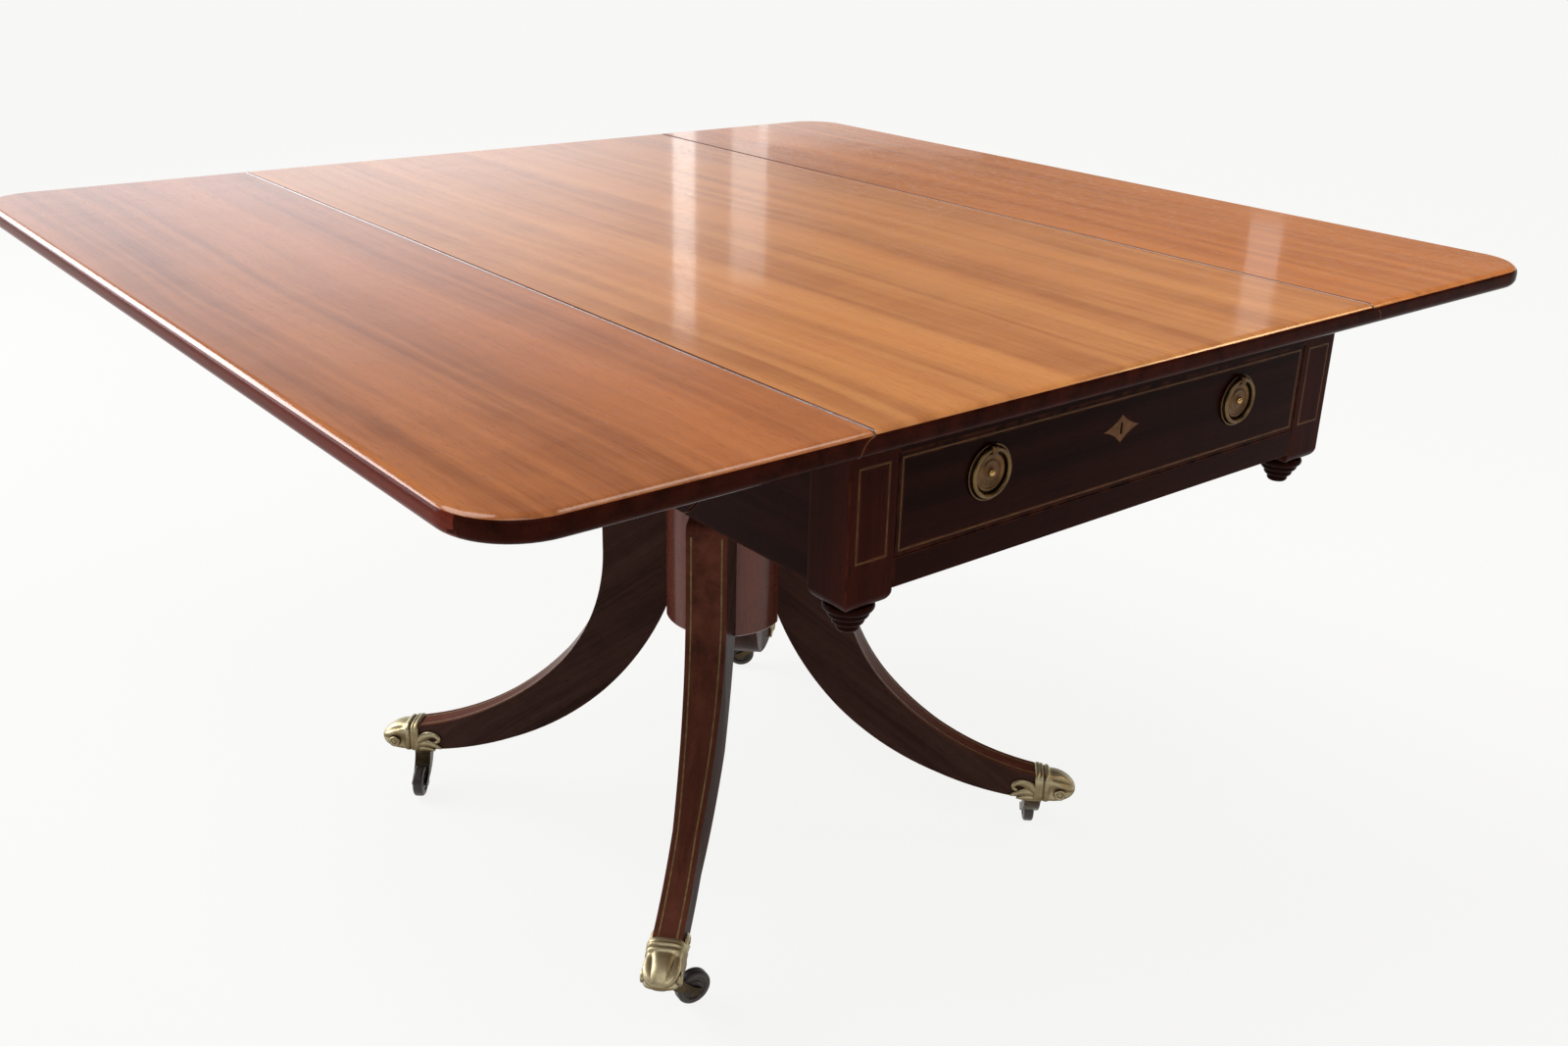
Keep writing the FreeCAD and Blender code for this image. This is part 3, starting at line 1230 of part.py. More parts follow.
def make_drawer():
    """Drawer box: front with its inlays and keyhole, dovetailed and grooved sides, back and bottom."""
    front = new_body("drawer_front")
    elevation = outline(front, "elevation", "XZ_Plane", [box_loop(
        f"-{DRAWER_HALF}", DRAWER_LOW, DRAWER_HALF, DRAWER_HIGH,
    )], lift=DRAWER_FACE)
    pad(front, elevation, "front_thickness", backwards=True)
    sink_inlays(front, DRAWER_FACE)
    keyhole = outline(front, "keyhole", "XZ_Plane", [keyhole_loop()], lift=DRAWER_FACE)
    pocket(front, keyhole)
    inside = f"({DRAWER_HALF} - lining)"
    groove_half = f"({inside} + panel_groove + seat_clearance)"
    groove = outline(front, "panel_groove", "XZ_Plane", [box_loop(
        f"-{groove_half}", f"{PANEL_LOW} - seat_clearance",
        groove_half, f"{PANEL_LOW} + panel_thickness + seat_clearance",
    )], lift=DRAWER_INSIDE)
    pocket(front, groove, "panel_groove + seat_clearance", backwards=True)
    sockets = [dovetail(count, "seat_clearance") for count in range(DRAWER_TAILS)]
    for word, end, inwards in (("left", f"-{DRAWER_HALF}", True), ("right", DRAWER_HALF, False)):
        section = outline(front, f"sockets_{word}", "YZ_Plane", sockets, lift=end)
        pocket(front, section, "lining + seat_clearance", backwards=inwards)
    node(front, "drawer_front")
    for word, lift in (("left", f"-{DRAWER_HALF}"), ("right", inside)):
        lining = make_drawer_side(word, lift)
        channel = board(
            f"channel_{word}",
            (f"-{groove_half}", f"-{FRAME_END}", f"{PANEL_LOW} - seat_clearance"),
            (groove_half, FRAME_END, f"{PANEL_LOW} + panel_thickness + seat_clearance"),
        )
        node(cut(f"drawer_side_{word}", lining, channel), f"drawer_side_{word}")
    above_panel = f"{PANEL_LOW} + panel_thickness"
    node(board(
        "drawer_back", (f"-{inside}", f"-lining - {DRAWER_END}", above_panel),
        (inside, f"-{DRAWER_END}", SIDE_TOP),
    ), "drawer_back")
    node(board(
        "drawer_bottom", (f"-{inside} - panel_groove", f"-{DRAWER_INSIDE} - panel_groove", PANEL_LOW),
        (f"{inside} + panel_groove", f"-{DRAWER_END}", above_panel),
    ), "drawer_bottom")
    node(inlay("drawer_stringing", front_line(), DRAWER_FACE), "drawer_stringing")
    node(inlay("drawer_escutcheon", [kite_loop("0"), keyhole_loop()], DRAWER_FACE), "drawer_escutcheon")


def make_lock():
    """Lock case behind the drawer front and the bolt that rises out of it."""
    case = board(
        "lock_case", ("-lock_width / 2", f"-{DRAWER_INSIDE}", f"{BOLT_TOP} - lock_height"),
        ("lock_width / 2", f"lock_thickness - {DRAWER_INSIDE}", BOLT_TOP),
    )
    play = "seat_clearance"
    chamber = board(
        "bolt_chamber",
        (
            f"-bolt_width / 2 - {play}", f"{bolt_back()} - bolt_thickness - {play}",
            f"{BOLT_TOP} - bolt_height - {play}",
        ),
        (f"bolt_width / 2 + {play}", f"{bolt_back()} + {play}", f"{BOLT_TOP} + bolt_travel"),
    )
    node(cut("drawer_lock", case, chamber), "drawer_lock")
    bolt = board(
        "lock_bolt", ("-bolt_width / 2", f"{bolt_back()} - bolt_thickness", f"{BOLT_TOP} - bolt_height"),
        ("bolt_width / 2", bolt_back(), BOLT_TOP),
    )
    node(bolt, "lock_bolt")


def face_outwards(item, end, across, face):
    """Stand an item that is modelled lying on its back upright against an end of the table."""
    upright = FreeCAD.Rotation(FreeCAD.Vector(1, 0, 0), 90)
    facing = FreeCAD.Rotation(FreeCAD.Vector(0, 0, 1), 0 if end < 0 else HALF_TURN)
    item.Placement = FreeCAD.Placement(FreeCAD.Vector(), facing.multiply(upright))
    for axis, formula in zip("xyz", (across, f"{end} * ({face})", PULL_MIDDLE)):
        item.setExpression(f"Placement.Base.{axis}", tied(formula))
    return item


def make_pull_plate(label):
    """Round back plate with a rim, a raised disc, a boss and the lug of the ring."""
    body = new_body(label)
    disc_top = "(pull_plate + pull_disc_height)"
    waist = "(pull_disc / 2)"
    rise = "pull_boss_height"
    dome = f"(pull_boss * pull_boss + {rise} * {rise}) / (2 * {rise})"
    turn(body, "profile", [
        ("0", "0"),
        ("pull_radius", "0"),
        ("pull_radius", "pull_plate + pull_rim"),
        ("pull_radius - pull_rim_width", "pull_plate + pull_rim"),
        ("pull_radius - pull_rim_width", "pull_plate"),
        ("pull_disc", "pull_plate"),
        ("pull_disc - pull_disc_height", disc_top),
        (waist, disc_top, "pull_disc"),
        ("pull_boss", disc_top, dome),
        ("0", f"{disc_top} + pull_boss_height"),
    ])
    lug = outline(body, "lug", "YZ_Plane", [[
        ("ring_radius - lug_radius", "pull_plate / 2"),
        ("ring_radius + lug_radius", "pull_plate / 2"),
        ("ring_radius + lug_radius", RING_HEIGHT, f"{HALF_ROUND} * lug_radius"),
        ("ring_radius - lug_radius", RING_HEIGHT),
    ]])
    pad(body, lug, "lug_width", centred=True)
    eye = outline(
        body, "eye", "YZ_Plane",
        circles=[("ring_radius", RING_HEIGHT, "ring_wire + eye_play")],
    )
    pocket(body, eye, "lug_width + 2 * ring_play", centred=True)
    return body


def make_pulls():
    """Four ring pulls: two on the drawer, two on the dummy front."""
    for word, end, face, plates_name in (
        ("front", -1, DRAWER_FACE, "drawer_pull_plates"),
        ("back", 1, FRAME_END, "back_pull_plates"),
    ):
        plates = []
        for hand, side in (("left", -1), ("right", 1)):
            across = f"{side} * pull_offset"
            plate = make_pull_plate(f"pull_plate_{word}_{hand}")
            plates.append(face_outwards(plate, end, across, face))
            ring = doc.addObject("Part::Torus", f"pull_ring_{word}_{hand}")
            ring.setExpression("Radius1", tied("ring_radius"))
            ring.setExpression("Radius2", tied("ring_wire"))
            face_outwards(ring, end, across, f"{face} + {RING_HEIGHT}")
            node(ring, f"pull_ring_{word}_{hand}")
        group(plates_name, plates)


def check_and_write():
    """Refuse a failed object or shape, then write one file per node."""
    doc.recompute()
    for item in doc.Objects:
        if "Invalid" in item.State or "Error" in item.State:
            raise RuntimeError(f"{item.Label} failed: {item.State}")
        if item.isDerivedFrom("PartDesign::Pocket"):
            removed = item.BaseFeature.Shape.Volume - item.Shape.Volume
            if removed <= 0:
                raise RuntimeError(f"{item.Label} cuts nothing")
    for item in subparts:
        if item.Shape.isNull() or not item.Shape.isValid():
            raise RuntimeError(f"{item.Label} has no valid shape")
    os.makedirs("parts", exist_ok=True)
    for item in subparts:
        item.Shape.exportStep(f"parts/{item.Label}.step")
    print(len(subparts), "nodes written")


make_top_centre()
make_leaf("leaf_right", 0)
make_leaf("leaf_left", HALF_TURN)
make_hinges()
make_posts()
make_corner_drops()
make_side_rails()
make_outer_sides()
make_end_rails()
make_back_rail()
make_frame_stringing()
make_pedestal()
make_legs()
make_castor_caps()
make_castors()
make_drawer()
make_lock()
make_pulls()
check_and_write()
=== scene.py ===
"""Finished looks of a pedestal pembroke table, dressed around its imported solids."""

import logging
import math
from contextlib import contextmanager
from dataclasses import dataclass
from enum import Enum
from typing import Callable, Dict, Iterator, List, Mapping, Optional, Sequence, Tuple, Union

import bmesh
import bpy
from mathutils import Matrix, Vector
from mathutils.bvhtree import BVHTree


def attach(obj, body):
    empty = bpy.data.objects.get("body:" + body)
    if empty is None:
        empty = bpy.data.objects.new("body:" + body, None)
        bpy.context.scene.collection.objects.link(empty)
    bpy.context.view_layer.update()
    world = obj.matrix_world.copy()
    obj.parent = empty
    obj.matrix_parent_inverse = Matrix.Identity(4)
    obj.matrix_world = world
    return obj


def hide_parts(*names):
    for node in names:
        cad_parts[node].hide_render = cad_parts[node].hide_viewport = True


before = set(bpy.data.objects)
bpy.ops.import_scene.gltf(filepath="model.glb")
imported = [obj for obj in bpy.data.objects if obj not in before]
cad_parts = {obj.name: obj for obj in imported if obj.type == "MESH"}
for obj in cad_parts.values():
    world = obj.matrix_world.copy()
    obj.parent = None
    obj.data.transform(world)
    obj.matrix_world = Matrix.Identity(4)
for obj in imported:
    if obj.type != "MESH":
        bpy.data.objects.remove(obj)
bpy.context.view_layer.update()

Piece = bpy.types.Object
Face = bpy.types.MeshPolygon
Edge = bmesh.types.BMEdge
Material = bpy.types.Material
Tree = bpy.types.NodeTree
Node = bpy.types.Node
Socket = bpy.types.NodeSocket
Sockets = Mapping[str, Socket]
Feed = Union[Socket, float, Sequence[float]]
Colour = Tuple[float, float, float, float]
Triple = Tuple[float, float, float]
Profile = Sequence[Tuple[float, float]]

LOG = logging.getLogger("pembroke_table")
NODES: Dict[str, Piece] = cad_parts
MM = 0.001
UP = Vector((0.0, 0.0, 1.0))
CORNERS = {"front_left": 225, "front_right": 315, "back_left": 135, "back_right": 45}
HANDS = {"left": -1, "right": 1}
MERGE = 0.01 * MM
FINE_MERGE = 0.001 * MM
LEVEL = 0.1 * MM
GROOVE_CLEAR = 1.0 * MM
START_SIZE = 10 * MM
FOOT_FACES = 4
FLAT_ANGLE = math.radians(0.4)
SHARP_ANGLE = math.radians(28)


def shade(red: int, green: int, blue: int) -> Colour:
    """Linear colour of a paint swatch given in screen values from 0 to 255.

    Args:
        red: Screen red.
        green: Screen green.
        blue: Screen blue.

    Returns:
        The linear colour with full alpha.
    """
    linear = []
    for level in (red, green, blue):
        share = level / 255
        linear.append(share / 12.92 if share <= 0.04045 else ((share + 0.055) / 1.055) ** 2.4)
    return (*linear, 1.0)


# Near black laid into hollows: dirt and painted shade
GRIME_AND_SHADE = shade(20, 10, 7)
JOINT_LINE = shade(52, 24, 15)


class Grain(Enum):
    """Direction in which the grain of a piece runs."""

    ACROSS = (1.0, 0.0, 0.0)
    ALONG = (0.0, 1.0, 0.0)
    UPRIGHT = (0.0, 0.0, 1.0)
    LEG_FRONT_LEFT = (-0.56, -0.56, -0.61)
    LEG_FRONT_RIGHT = (0.56, -0.56, -0.61)
    LEG_BACK_LEFT = (-0.56, 0.56, -0.61)
    LEG_BACK_RIGHT = (0.56, 0.56, -0.61)

    def turn(self) -> Triple:
        """Turn that brings this direction onto X, as an Euler rotation."""
        return tuple(Vector(self.value).rotation_difference(Vector((1, 0, 0))).to_euler())


class Stain(Enum):
    """Light, middle and deep colour of a dark wood, and the strength of its shine."""

    FRAME = (shade(53, 22, 15), shade(37, 14, 10), shade(22, 9, 6), 0.02)
    POST = (shade(70, 27, 17), shade(50, 18, 12), shade(30, 11, 8), 0.02)
    # The legs' sides are painted darker and greyer than their outward faces as painted shade, and the outward
    # faces lighter as painted light
    LEG = (shade(96, 68, 60), shade(72, 50, 45), shade(44, 31, 28), 0.001)
    LEG_FACE = (shade(126, 74, 59), shade(97, 55, 43), shade(61, 34, 27), 0.01)
    # The column is painted lighter and pinker than the frame, partly its own tone and partly painted sheen
    COLUMN = (shade(148, 82, 66), shade(114, 60, 48), shade(73, 37, 30), 0.35)


class Board(Enum):
    """Node, body, three colours and place in the log, in metres, of each board of the top."""

    CENTRE = ("top_centre", "frame", (shade(230, 161, 96), shade(209, 135, 76), shade(170, 104, 58)), 0.0)
    RIGHT = (
        "leaf_right", "leaf_right_body", (shade(227, 148, 79), shade(202, 121, 61), shade(165, 95, 49)), 2.3,
    )
    LEFT = (
        "leaf_left", "leaf_left_body", (shade(212, 136, 82), shade(185, 112, 65), shade(143, 83, 48)), 5.1,
    )


class BoardSide(Enum):
    """Sides of a board of the top, in the order of their finishes."""

    TOP = 0
    END = 1
    UNDER = 2
    EDGE = 3
    JOINT = 4


class Wiring:
    """Plain words for laying out the shader nodes of one tree."""

    def __init__(self, tree: Tree) -> None:
        """Start on the node tree of a material, a group or the world."""
        self.tree = tree

    def feed(self, socket: Socket, given: Feed) -> None:
        """Link a socket to an output, or set its constant.

        Args:
            socket: The input socket.
            given: An output socket, a number or a vector.
        """
        if isinstance(given, Socket):
            self.tree.links.new(given, socket)
        else:
            socket.default_value = given

    def fill(self, item: Node, given: Mapping[str, Feed]) -> Node:
        """Feed the named inputs of a node.

        Args:
            item: The node.
            given: Inputs by name, with underscores for spaces.

        Returns:
            The same node.
        """
        for word, feed in given.items():
            self.feed(item.inputs[word.replace("_", " ")], feed)
        return item

    def node(self, kind: str, **given: Feed) -> Node:
        """New node of one of Blender's types, with its named inputs fed."""
        return self.fill(self.tree.nodes.new(kind), given)

    def group(self, tree: Tree, **given: Feed) -> Sockets:
        """Place a node group and feed its named inputs.

        Args:
            tree: The group's tree.
            given: Inputs by name.

        Returns:
            The group's outputs by name.
        """
        item = self.tree.nodes.new("ShaderNodeGroup")
        item.node_tree = tree
        return self.fill(item, given).outputs

    def sum(self, operation: str, first: Feed, second: Feed = 0.0, clamp: bool = False) -> Socket:
        """One arithmetic step.

        Args:
            operation: Name of the operation.
            first: First value.
            second: Second value.
            clamp: Whether the result is kept between 0 and 1.

        Returns:
            The result.
        """
        item = self.tree.nodes.new("ShaderNodeMath")
        item.operation, item.use_clamp = operation, clamp
        self.feed(item.inputs[0], first)
        self.feed(item.inputs[1], second)
        return item.outputs[0]

    def times(self, first: Feed, second: Feed) -> Socket:
        """Product of two values."""
        return self.sum("MULTIPLY", first, second)

    def vector(self, operation: str, first: Feed, second: Feed) -> Socket:
        """One arithmetic step on vectors.

        Args:
            operation: Name of the operation.
            first: First vector.
            second: Second vector.

        Returns:
            A value for a dot product, otherwise a vector.
        """
        item = self.tree.nodes.new("ShaderNodeVectorMath")
        item.operation = operation
        self.feed(item.inputs[0], first)
        self.feed(item.inputs[1], second)
        return item.outputs["Value" if operation == "DOT_PRODUCT" else "Vector"]

    def noise(self, place: Feed, scale: float, detail: float = 2.0, rough: float = 0.5) -> Socket:
        """Value of a noise texture with so many cells in a unit and so many octaves."""
        given = {"Vector": place, "Scale": scale, "Detail": detail, "Roughness": rough}
        return self.node("ShaderNodeTexNoise", **given).outputs[0]

    def step(self, given: Feed, low: float, high: float) -> Socket:
        """Smooth step from 0 at low to 1 at high, where low may be the larger.

        Args:
            given: The value that is compared.
            low: Where the step starts.
            high: Where it ends.

        Returns:
            The mask.
        """
        ends = sorted((low, high))
        item = self.node(
            "ShaderNodeMapRange", Value=given, From_Min=ends[0], From_Max=ends[1],
            To_Min=float(low > high), To_Max=float(low <= high),
        )
        item.interpolation_type = "SMOOTHSTEP"
        return item.outputs[0]

    def between(self, low: float, high: float, share: Feed) -> Socket:
        """Number between two ends, by a share from 0 to 1."""
        return self.sum("ADD", self.times(share, high - low), low)

    def paint(self, share: Feed, under: Feed, over: Feed, mode: str = "MIX") -> Socket:
        """Lay one colour over another.

        Args:
            share: How much of the upper colour shows.
            under: Lower colour.
            over: Upper colour.
            mode: How they mix.

        Returns:
            The mixed colour.
        """
        item = self.tree.nodes.new("ShaderNodeMix")
        item.data_type, item.blend_type = "RGBA", mode
        for place, given in ((0, share), (6, under), (7, over)):
            self.feed(item.inputs[place], given)
        return item.outputs[2]

    def coats(self, colour: Feed, *layers: Tuple[Socket, float, Feed]) -> Feed:
        """Lay several colours one over the other.

        Args:
            colour: The lowest colour.
            layers: Mask, strength and colour of each further coat.

        Returns:
            The mixed colour.
        """
        for mask, strength, tone in layers:
            colour = self.paint(self.times(mask, strength), colour, tone)
        return colour

    def bump(self, height: Socket, distance: float, **under: Socket) -> Socket:
        """Normal raised by a height, over another Normal where one is given."""
        return self.node("ShaderNodeBump", Height=height, Distance=distance, Strength=1.0, **under).outputs[0]

    def hollow(self, reach: Feed, samples: int) -> Socket:
        """How open a surface is within a reach, from 0 in a hollow to 1.

        Args:
            reach: How far away a wall still counts.
            samples: How many directions are tried.

        Returns:
            The openness.
        """
        item = self.node("ShaderNodeAmbientOcclusion", Distance=reach)
        item.samples = samples
        return item.outputs["AO"]

    def surface(self, **given: Feed) -> None:
        """Finish a material with one principled shader and its named inputs."""
        shader = self.node("ShaderNodeBsdfPrincipled", **given)
        self.node("ShaderNodeOutputMaterial", Surface=shader.outputs[0])


class Effects:
    """Shader groups that several finishes share."""

    def __init__(self) -> None:
        """Build each group once."""
        self.grain = self.make_grain()
        self.polish = self.make_polish()
        self.edges = self.make_edges()
        self.tarnish = self.make_tarnish()

    @staticmethod
    def start(name: str, *inputs: str) -> Tuple[Wiring, Sockets]:
        """New group with its inputs.

        Args:
            name: Name of the group.
            inputs: Names of the inputs, which are numbers apart from Vector.

        Returns:
            The group's wiring and its inputs by name.
        """
        tree = bpy.data.node_groups.new(name, "ShaderNodeTree")
        for word in inputs:
            kind = "NodeSocketVector" if word == "Vector" else "NodeSocketFloat"
            tree.interface.new_socket(name=word, in_out="INPUT", socket_type=kind)
        wires = Wiring(tree)
        return wires, wires.node("NodeGroupInput").outputs

    @staticmethod
    def put_out(wires: Wiring, **results: Socket) -> Tree:
        """Finish a group with its outputs.

        Args:
            wires: The group's wiring.
            results: What the group puts out, by name.

        Returns:
            The finished group.
        """
        for word, socket in results.items():
            kind = "NodeSocketVector" if socket.type == "VECTOR" else "NodeSocketFloat"
            wires.tree.interface.new_socket(name=word, in_out="OUTPUT", socket_type=kind)
        wires.node("NodeGroupOutput", **results)
        return wires.tree

    def make_grain(self) -> Tree:
        """Mahogany grain along X: broad ribbons, fibres and short open pores.

        Returns:
            The finished group.
        """
        wires, given = self.start("wood_grain", "Vector", "Ribbons", "Waver")
        place, ribbons, waver = given["Vector"], given["Ribbons"], given["Waver"]
        slow = wires.vector("MULTIPLY", place, (1.6, 3.0, 3.0))
        drift = wires.node("ShaderNodeTexNoise", Vector=slow, Scale=1.0, Detail=1.0).outputs["Color"]
        drift = wires.vector("SUBTRACT", drift, (0.5, 0.5, 0.5))
        sway = wires.node("ShaderNodeCombineXYZ", Y=waver, Z=waver).outputs[0]
        bent = wires.vector("ADD", place, wires.vector("MULTIPLY", drift, sway))

        def drawn(stretch: Feed, detail: float, rough: float) -> Socket:
            """Noise drawn out along the grain."""
            return wires.noise(wires.vector("MULTIPLY", bent, stretch), 1.0, detail, rough)

        ribbon = drawn(wires.node("ShaderNodeCombineXYZ", X=0.6, Y=ribbons, Z=ribbons).outputs[0], 3.0, 0.6)
        streak = drawn((1.2, 55.0, 55.0), 3.0, 0.55)
        fibre = drawn((7.0, 330.0, 330.0), 3.0, 0.6)
        pores = wires.step(drawn((60.0, 1150.0, 1150.0), 1.0, 0.5), 0.60, 0.70)
        mottle = drawn((26.0, 9.0, 9.0), 2.0, 0.55)
        return self.put_out(
            wires, Ribbon=wires.step(ribbon, 0.30, 0.70), Streak=wires.step(streak, 0.35, 0.70),
            Fibre=wires.step(fibre, 0.25, 0.75), Pores=pores, Mottle=wires.step(mottle, 0.3, 0.7),
            Height=wires.sum("SUBTRACT", wires.times(fibre, 0.25), pores),
        )

    def make_polish(self) -> Tree:
        """Hand polish: slow waves, cloudy smears and fine scratches.

        Returns:
            The finished group.
        """
        wires, given = self.start("hand_polish", "Vector")
        place = given["Vector"]
        wave = wires.noise(place, 14.0, 1.0)
        ripple = wires.noise(wires.vector("MULTIPLY", place, (1.0, 0.35, 1.0)), 60.0, 1.0)
        smear = wires.noise(place, 5.0, 4.0, 0.6)
        scratches: Feed = 0.0
        for turn, stretch in ((0.35, 240.0), (-0.9, 300.0), (1.35, 260.0)):
            drawn = wires.node(
                "ShaderNodeMapping", Vector=place, Rotation=(0, 0, turn), Scale=(9.0, stretch, stretch),
            ).outputs[0]
            away = wires.sum("ABSOLUTE", wires.sum("SUBTRACT", wires.noise(drawn, 1.0, 0.0), 0.36))
            scratches = wires.sum("MAXIMUM", scratches, wires.step(away, 0.006, 0.002))
        return self.put_out(
            wires, Wave=wires.sum("ADD", wave, wires.times(ripple, 0.12)), Smear=wires.step(smear, 0.35, 0.7),
            Scratches=scratches,
        )

    def make_edges(self) -> Tree:
        """Rubbed arrises, and hollows darkened as dirt and painted shade, found from the shape itself.

        Returns:
            The finished group.
        """
        wires, given = self.start("rubbed_edges", "Vector", "Reach")
        rounding = wires.node("ShaderNodeBevel", Radius=given["Reach"])
        rounding.samples = 6
        rounded = rounding.outputs[0]
        facing = wires.node("ShaderNodeNewGeometry").outputs["Normal"]
        turned_away = wires.sum("SUBTRACT", 1.0, wires.vector("DOT_PRODUCT", rounded, facing))
        broken = wires.step(wires.noise(given["Vector"], 70.0, 4.0, 0.6), 0.36, 0.62)
        return self.put_out(
            wires, Rounded=rounded, Rubbed=wires.times(wires.step(turned_away, 0.01, 0.14), broken),
            # The hollow mask, from ambient occlusion, darkens as dirt and painted shade
            Grime=wires.step(wires.hollow(0.012, 6), 0.75, 0.25),
        )

    def make_tarnish(self) -> Tree:
        """Patina of old brass: dull clouds, dark hollows and small specks.

        Returns:
            The finished group.
        """
        wires, given = self.start("tarnish", "Vector", "Reach")
        cloud = wires.noise(given["Vector"], 60.0, 5.0, 0.65)
        speck = wires.noise(given["Vector"], 900.0)
        openness = wires.hollow(given["Reach"], 8)
        return self.put_out(
            wires, Cloud=wires.step(cloud, 0.35, 0.68), Hollow=wires.step(openness, 0.95, 0.45),
            Specks=wires.step(speck, 0.62, 0.72),
            Height=wires.sum("ADD", wires.times(cloud, 0.6), wires.times(speck, 0.4)),
        )


def start_nodes(owner: Union[Material, bpy.types.World]) -> Wiring:
    """Empty the node tree of a material or the world.

    Args:
        owner: The material or the world.

    Returns:
        The tree's wiring.
    """
    owner.use_nodes = True
    owner.node_tree.nodes.clear()
    return Wiring(owner.node_tree)


def new_material(name: str) -> Tuple[Material, Wiring, Socket]:
    """Empty material that reads Object coordinates.

    Args:
        name: The material's name.

    Returns:
        The material, its wiring and the coordinates.
    """
    material = bpy.data.materials.new(name)
    wires = start_nodes(material)
    return material, wires, wires.node("ShaderNodeTexCoord").outputs["Object"]


@dataclass(frozen=True)
class PolishedWood:
    """Polished mahogany, cut with its grain one way."""

    name: str
    light: Colour
    middle: Colour
    dark: Colour
    rubbed: Colour
    grain: Grain
    ribbons: float = 24.0
    waver: float = 0.012
    offset: Triple = (0.0, 0.0, 0.0)
    gloss: float = 0.16
    dull: float = 0.30
    specular: float = 0.5
    wave_height: float = 0.08 * MM
    pore_height: float = 0.02 * MM
    edge_reach: float = 3.0 * MM
    joint_reach: Optional[float] = None
    rounded: bool = False

    def make(self, effects: Effects) -> Material:
        """Build the material.

        Args:
            effects: The shared shader groups.

        Returns:
            The finished material.
        """
        material, wires, place = new_material(self.name)
        cut = wires.node("ShaderNodeMapping", Vector=place, Rotation=self.grain.turn(), Location=self.offset)
        grain = wires.group(effects.grain, Vector=cut.outputs[0], Ribbons=self.ribbons, Waver=self.waver)
        polish = wires.group(effects.polish, Vector=place)
        edges = wires.group(effects.edges, Vector=place, Reach=self.edge_reach)
        colour = wires.coats(
            wires.paint(grain["Ribbon"], self.dark, self.middle), (grain["Streak"], 0.45, self.light),
            (grain["Mottle"], 0.14, self.light), (grain["Fibre"], 0.2, self.light),
            (grain["Pores"], 0.55, self.dark),
        )
        if self.joint_reach is not None:
            across = wires.node("ShaderNodeSeparateXYZ", Vector=place).outputs["X"]
            away = wires.sum("SUBTRACT", wires.sum("ABSOLUTE", across), self.joint_reach)
            line = wires.step(wires.sum("ABSOLUTE", away), 1.6 * MM, 0.7 * MM)
            colour = wires.coats(colour, (line, 0.85, JOINT_LINE))
        # Lighter wear on rubbed arrises, then near black in hollows within the occlusion's reach, as dirt and
        # painted shade
        colour = wires.coats(colour, (edges["Rubbed"], 0.5, self.rubbed), (edges["Grime"], 0.6, GRIME_AND_SHADE))
        roughness = wires.between(self.gloss, self.dull, wires.times(polish["Smear"], 0.6))
        roughness = wires.sum("ADD", roughness, wires.times(polish["Scratches"], 0.12), clamp=True)
        under = {"Normal": edges["Rounded"]} if self.rounded else {}
        wave = wires.bump(polish["Wave"], self.wave_height, **under)
        wires.surface(
            Base_Color=colour, Roughness=roughness, IOR=1.5, Specular_IOR_Level=self.specular,
            Normal=wires.bump(grain["Height"], self.pore_height, Normal=wave),
        )
        return material


@dataclass(frozen=True)
class BareWood:
    """Unpolished wood of the drawer's inside, the underside and hidden blocks."""

    name: str
    light: Colour
    dark: Colour
    stain: Colour
    grain: Grain

    def make(self, effects: Effects) -> Material:
        """Build the material.

        Args:
            effects: The shared shader groups.

        Returns:
            The finished material.
        """
        material, wires, place = new_material(self.name)
        cut = wires.node("ShaderNodeMapping", Vector=place, Rotation=self.grain.turn())
        grain = wires.group(effects.grain, Vector=cut.outputs[0], Ribbons=60.0, Waver=0.02)
        polish = wires.group(effects.polish, Vector=place)
        colour = wires.coats(
            wires.paint(grain["Ribbon"], self.dark, self.light), (grain["Pores"], 0.7, self.dark),
            (polish["Smear"], 0.4, self.stain),
        )
        wires.surface(
            Base_Color=colour, Roughness=wires.between(0.62, 0.85, grain["Fibre"]),
            Normal=wires.bump(grain["Height"], 0.15 * MM),
        )
        return material


@dataclass(frozen=True)
class OldBrass:
    """Cast brass with its patina, and painted shade by a share where it faces aside or down."""

    name: str
    bright: Colour
    dull: Colour
    hollow: Colour
    polish: float
    worn: float
    reach: float
    below: float = 0.0

    def make(self, effects: Effects) -> Material:
        """Build the material.

        Args:
            effects: The shared shader groups.

        Returns:
            The finished material.
        """
        material, wires, place = new_material(self.name)
        patina = wires.group(effects.tarnish, Vector=place, Reach=self.reach)
        colour = wires.coats(
            self.bright, (patina["Cloud"], 0.75, self.dull), (patina["Specks"], 0.5, self.hollow),
            (patina["Hollow"], 0.85, self.hollow),
        )
        # Painted shade: faces that look aside or down darken by a share towards the hollow colour
        if self.below:
            facing = wires.node("ShaderNodeNewGeometry").outputs["Normal"]
            rise = wires.node("ShaderNodeSeparateXYZ", Vector=facing).outputs["Z"]
            colour = wires.coats(colour, (wires.step(rise, 0.5, -0.2), self.below, self.hollow))
        rough = wires.sum("MAXIMUM", patina["Hollow"], wires.times(patina["Cloud"], 0.7))
        wires.surface(
            Base_Color=colour, Roughness=wires.between(self.polish, self.worn, rough), Metallic=1.0,
            Normal=wires.bump(patina["Height"], 0.12 * MM),
        )
        return material


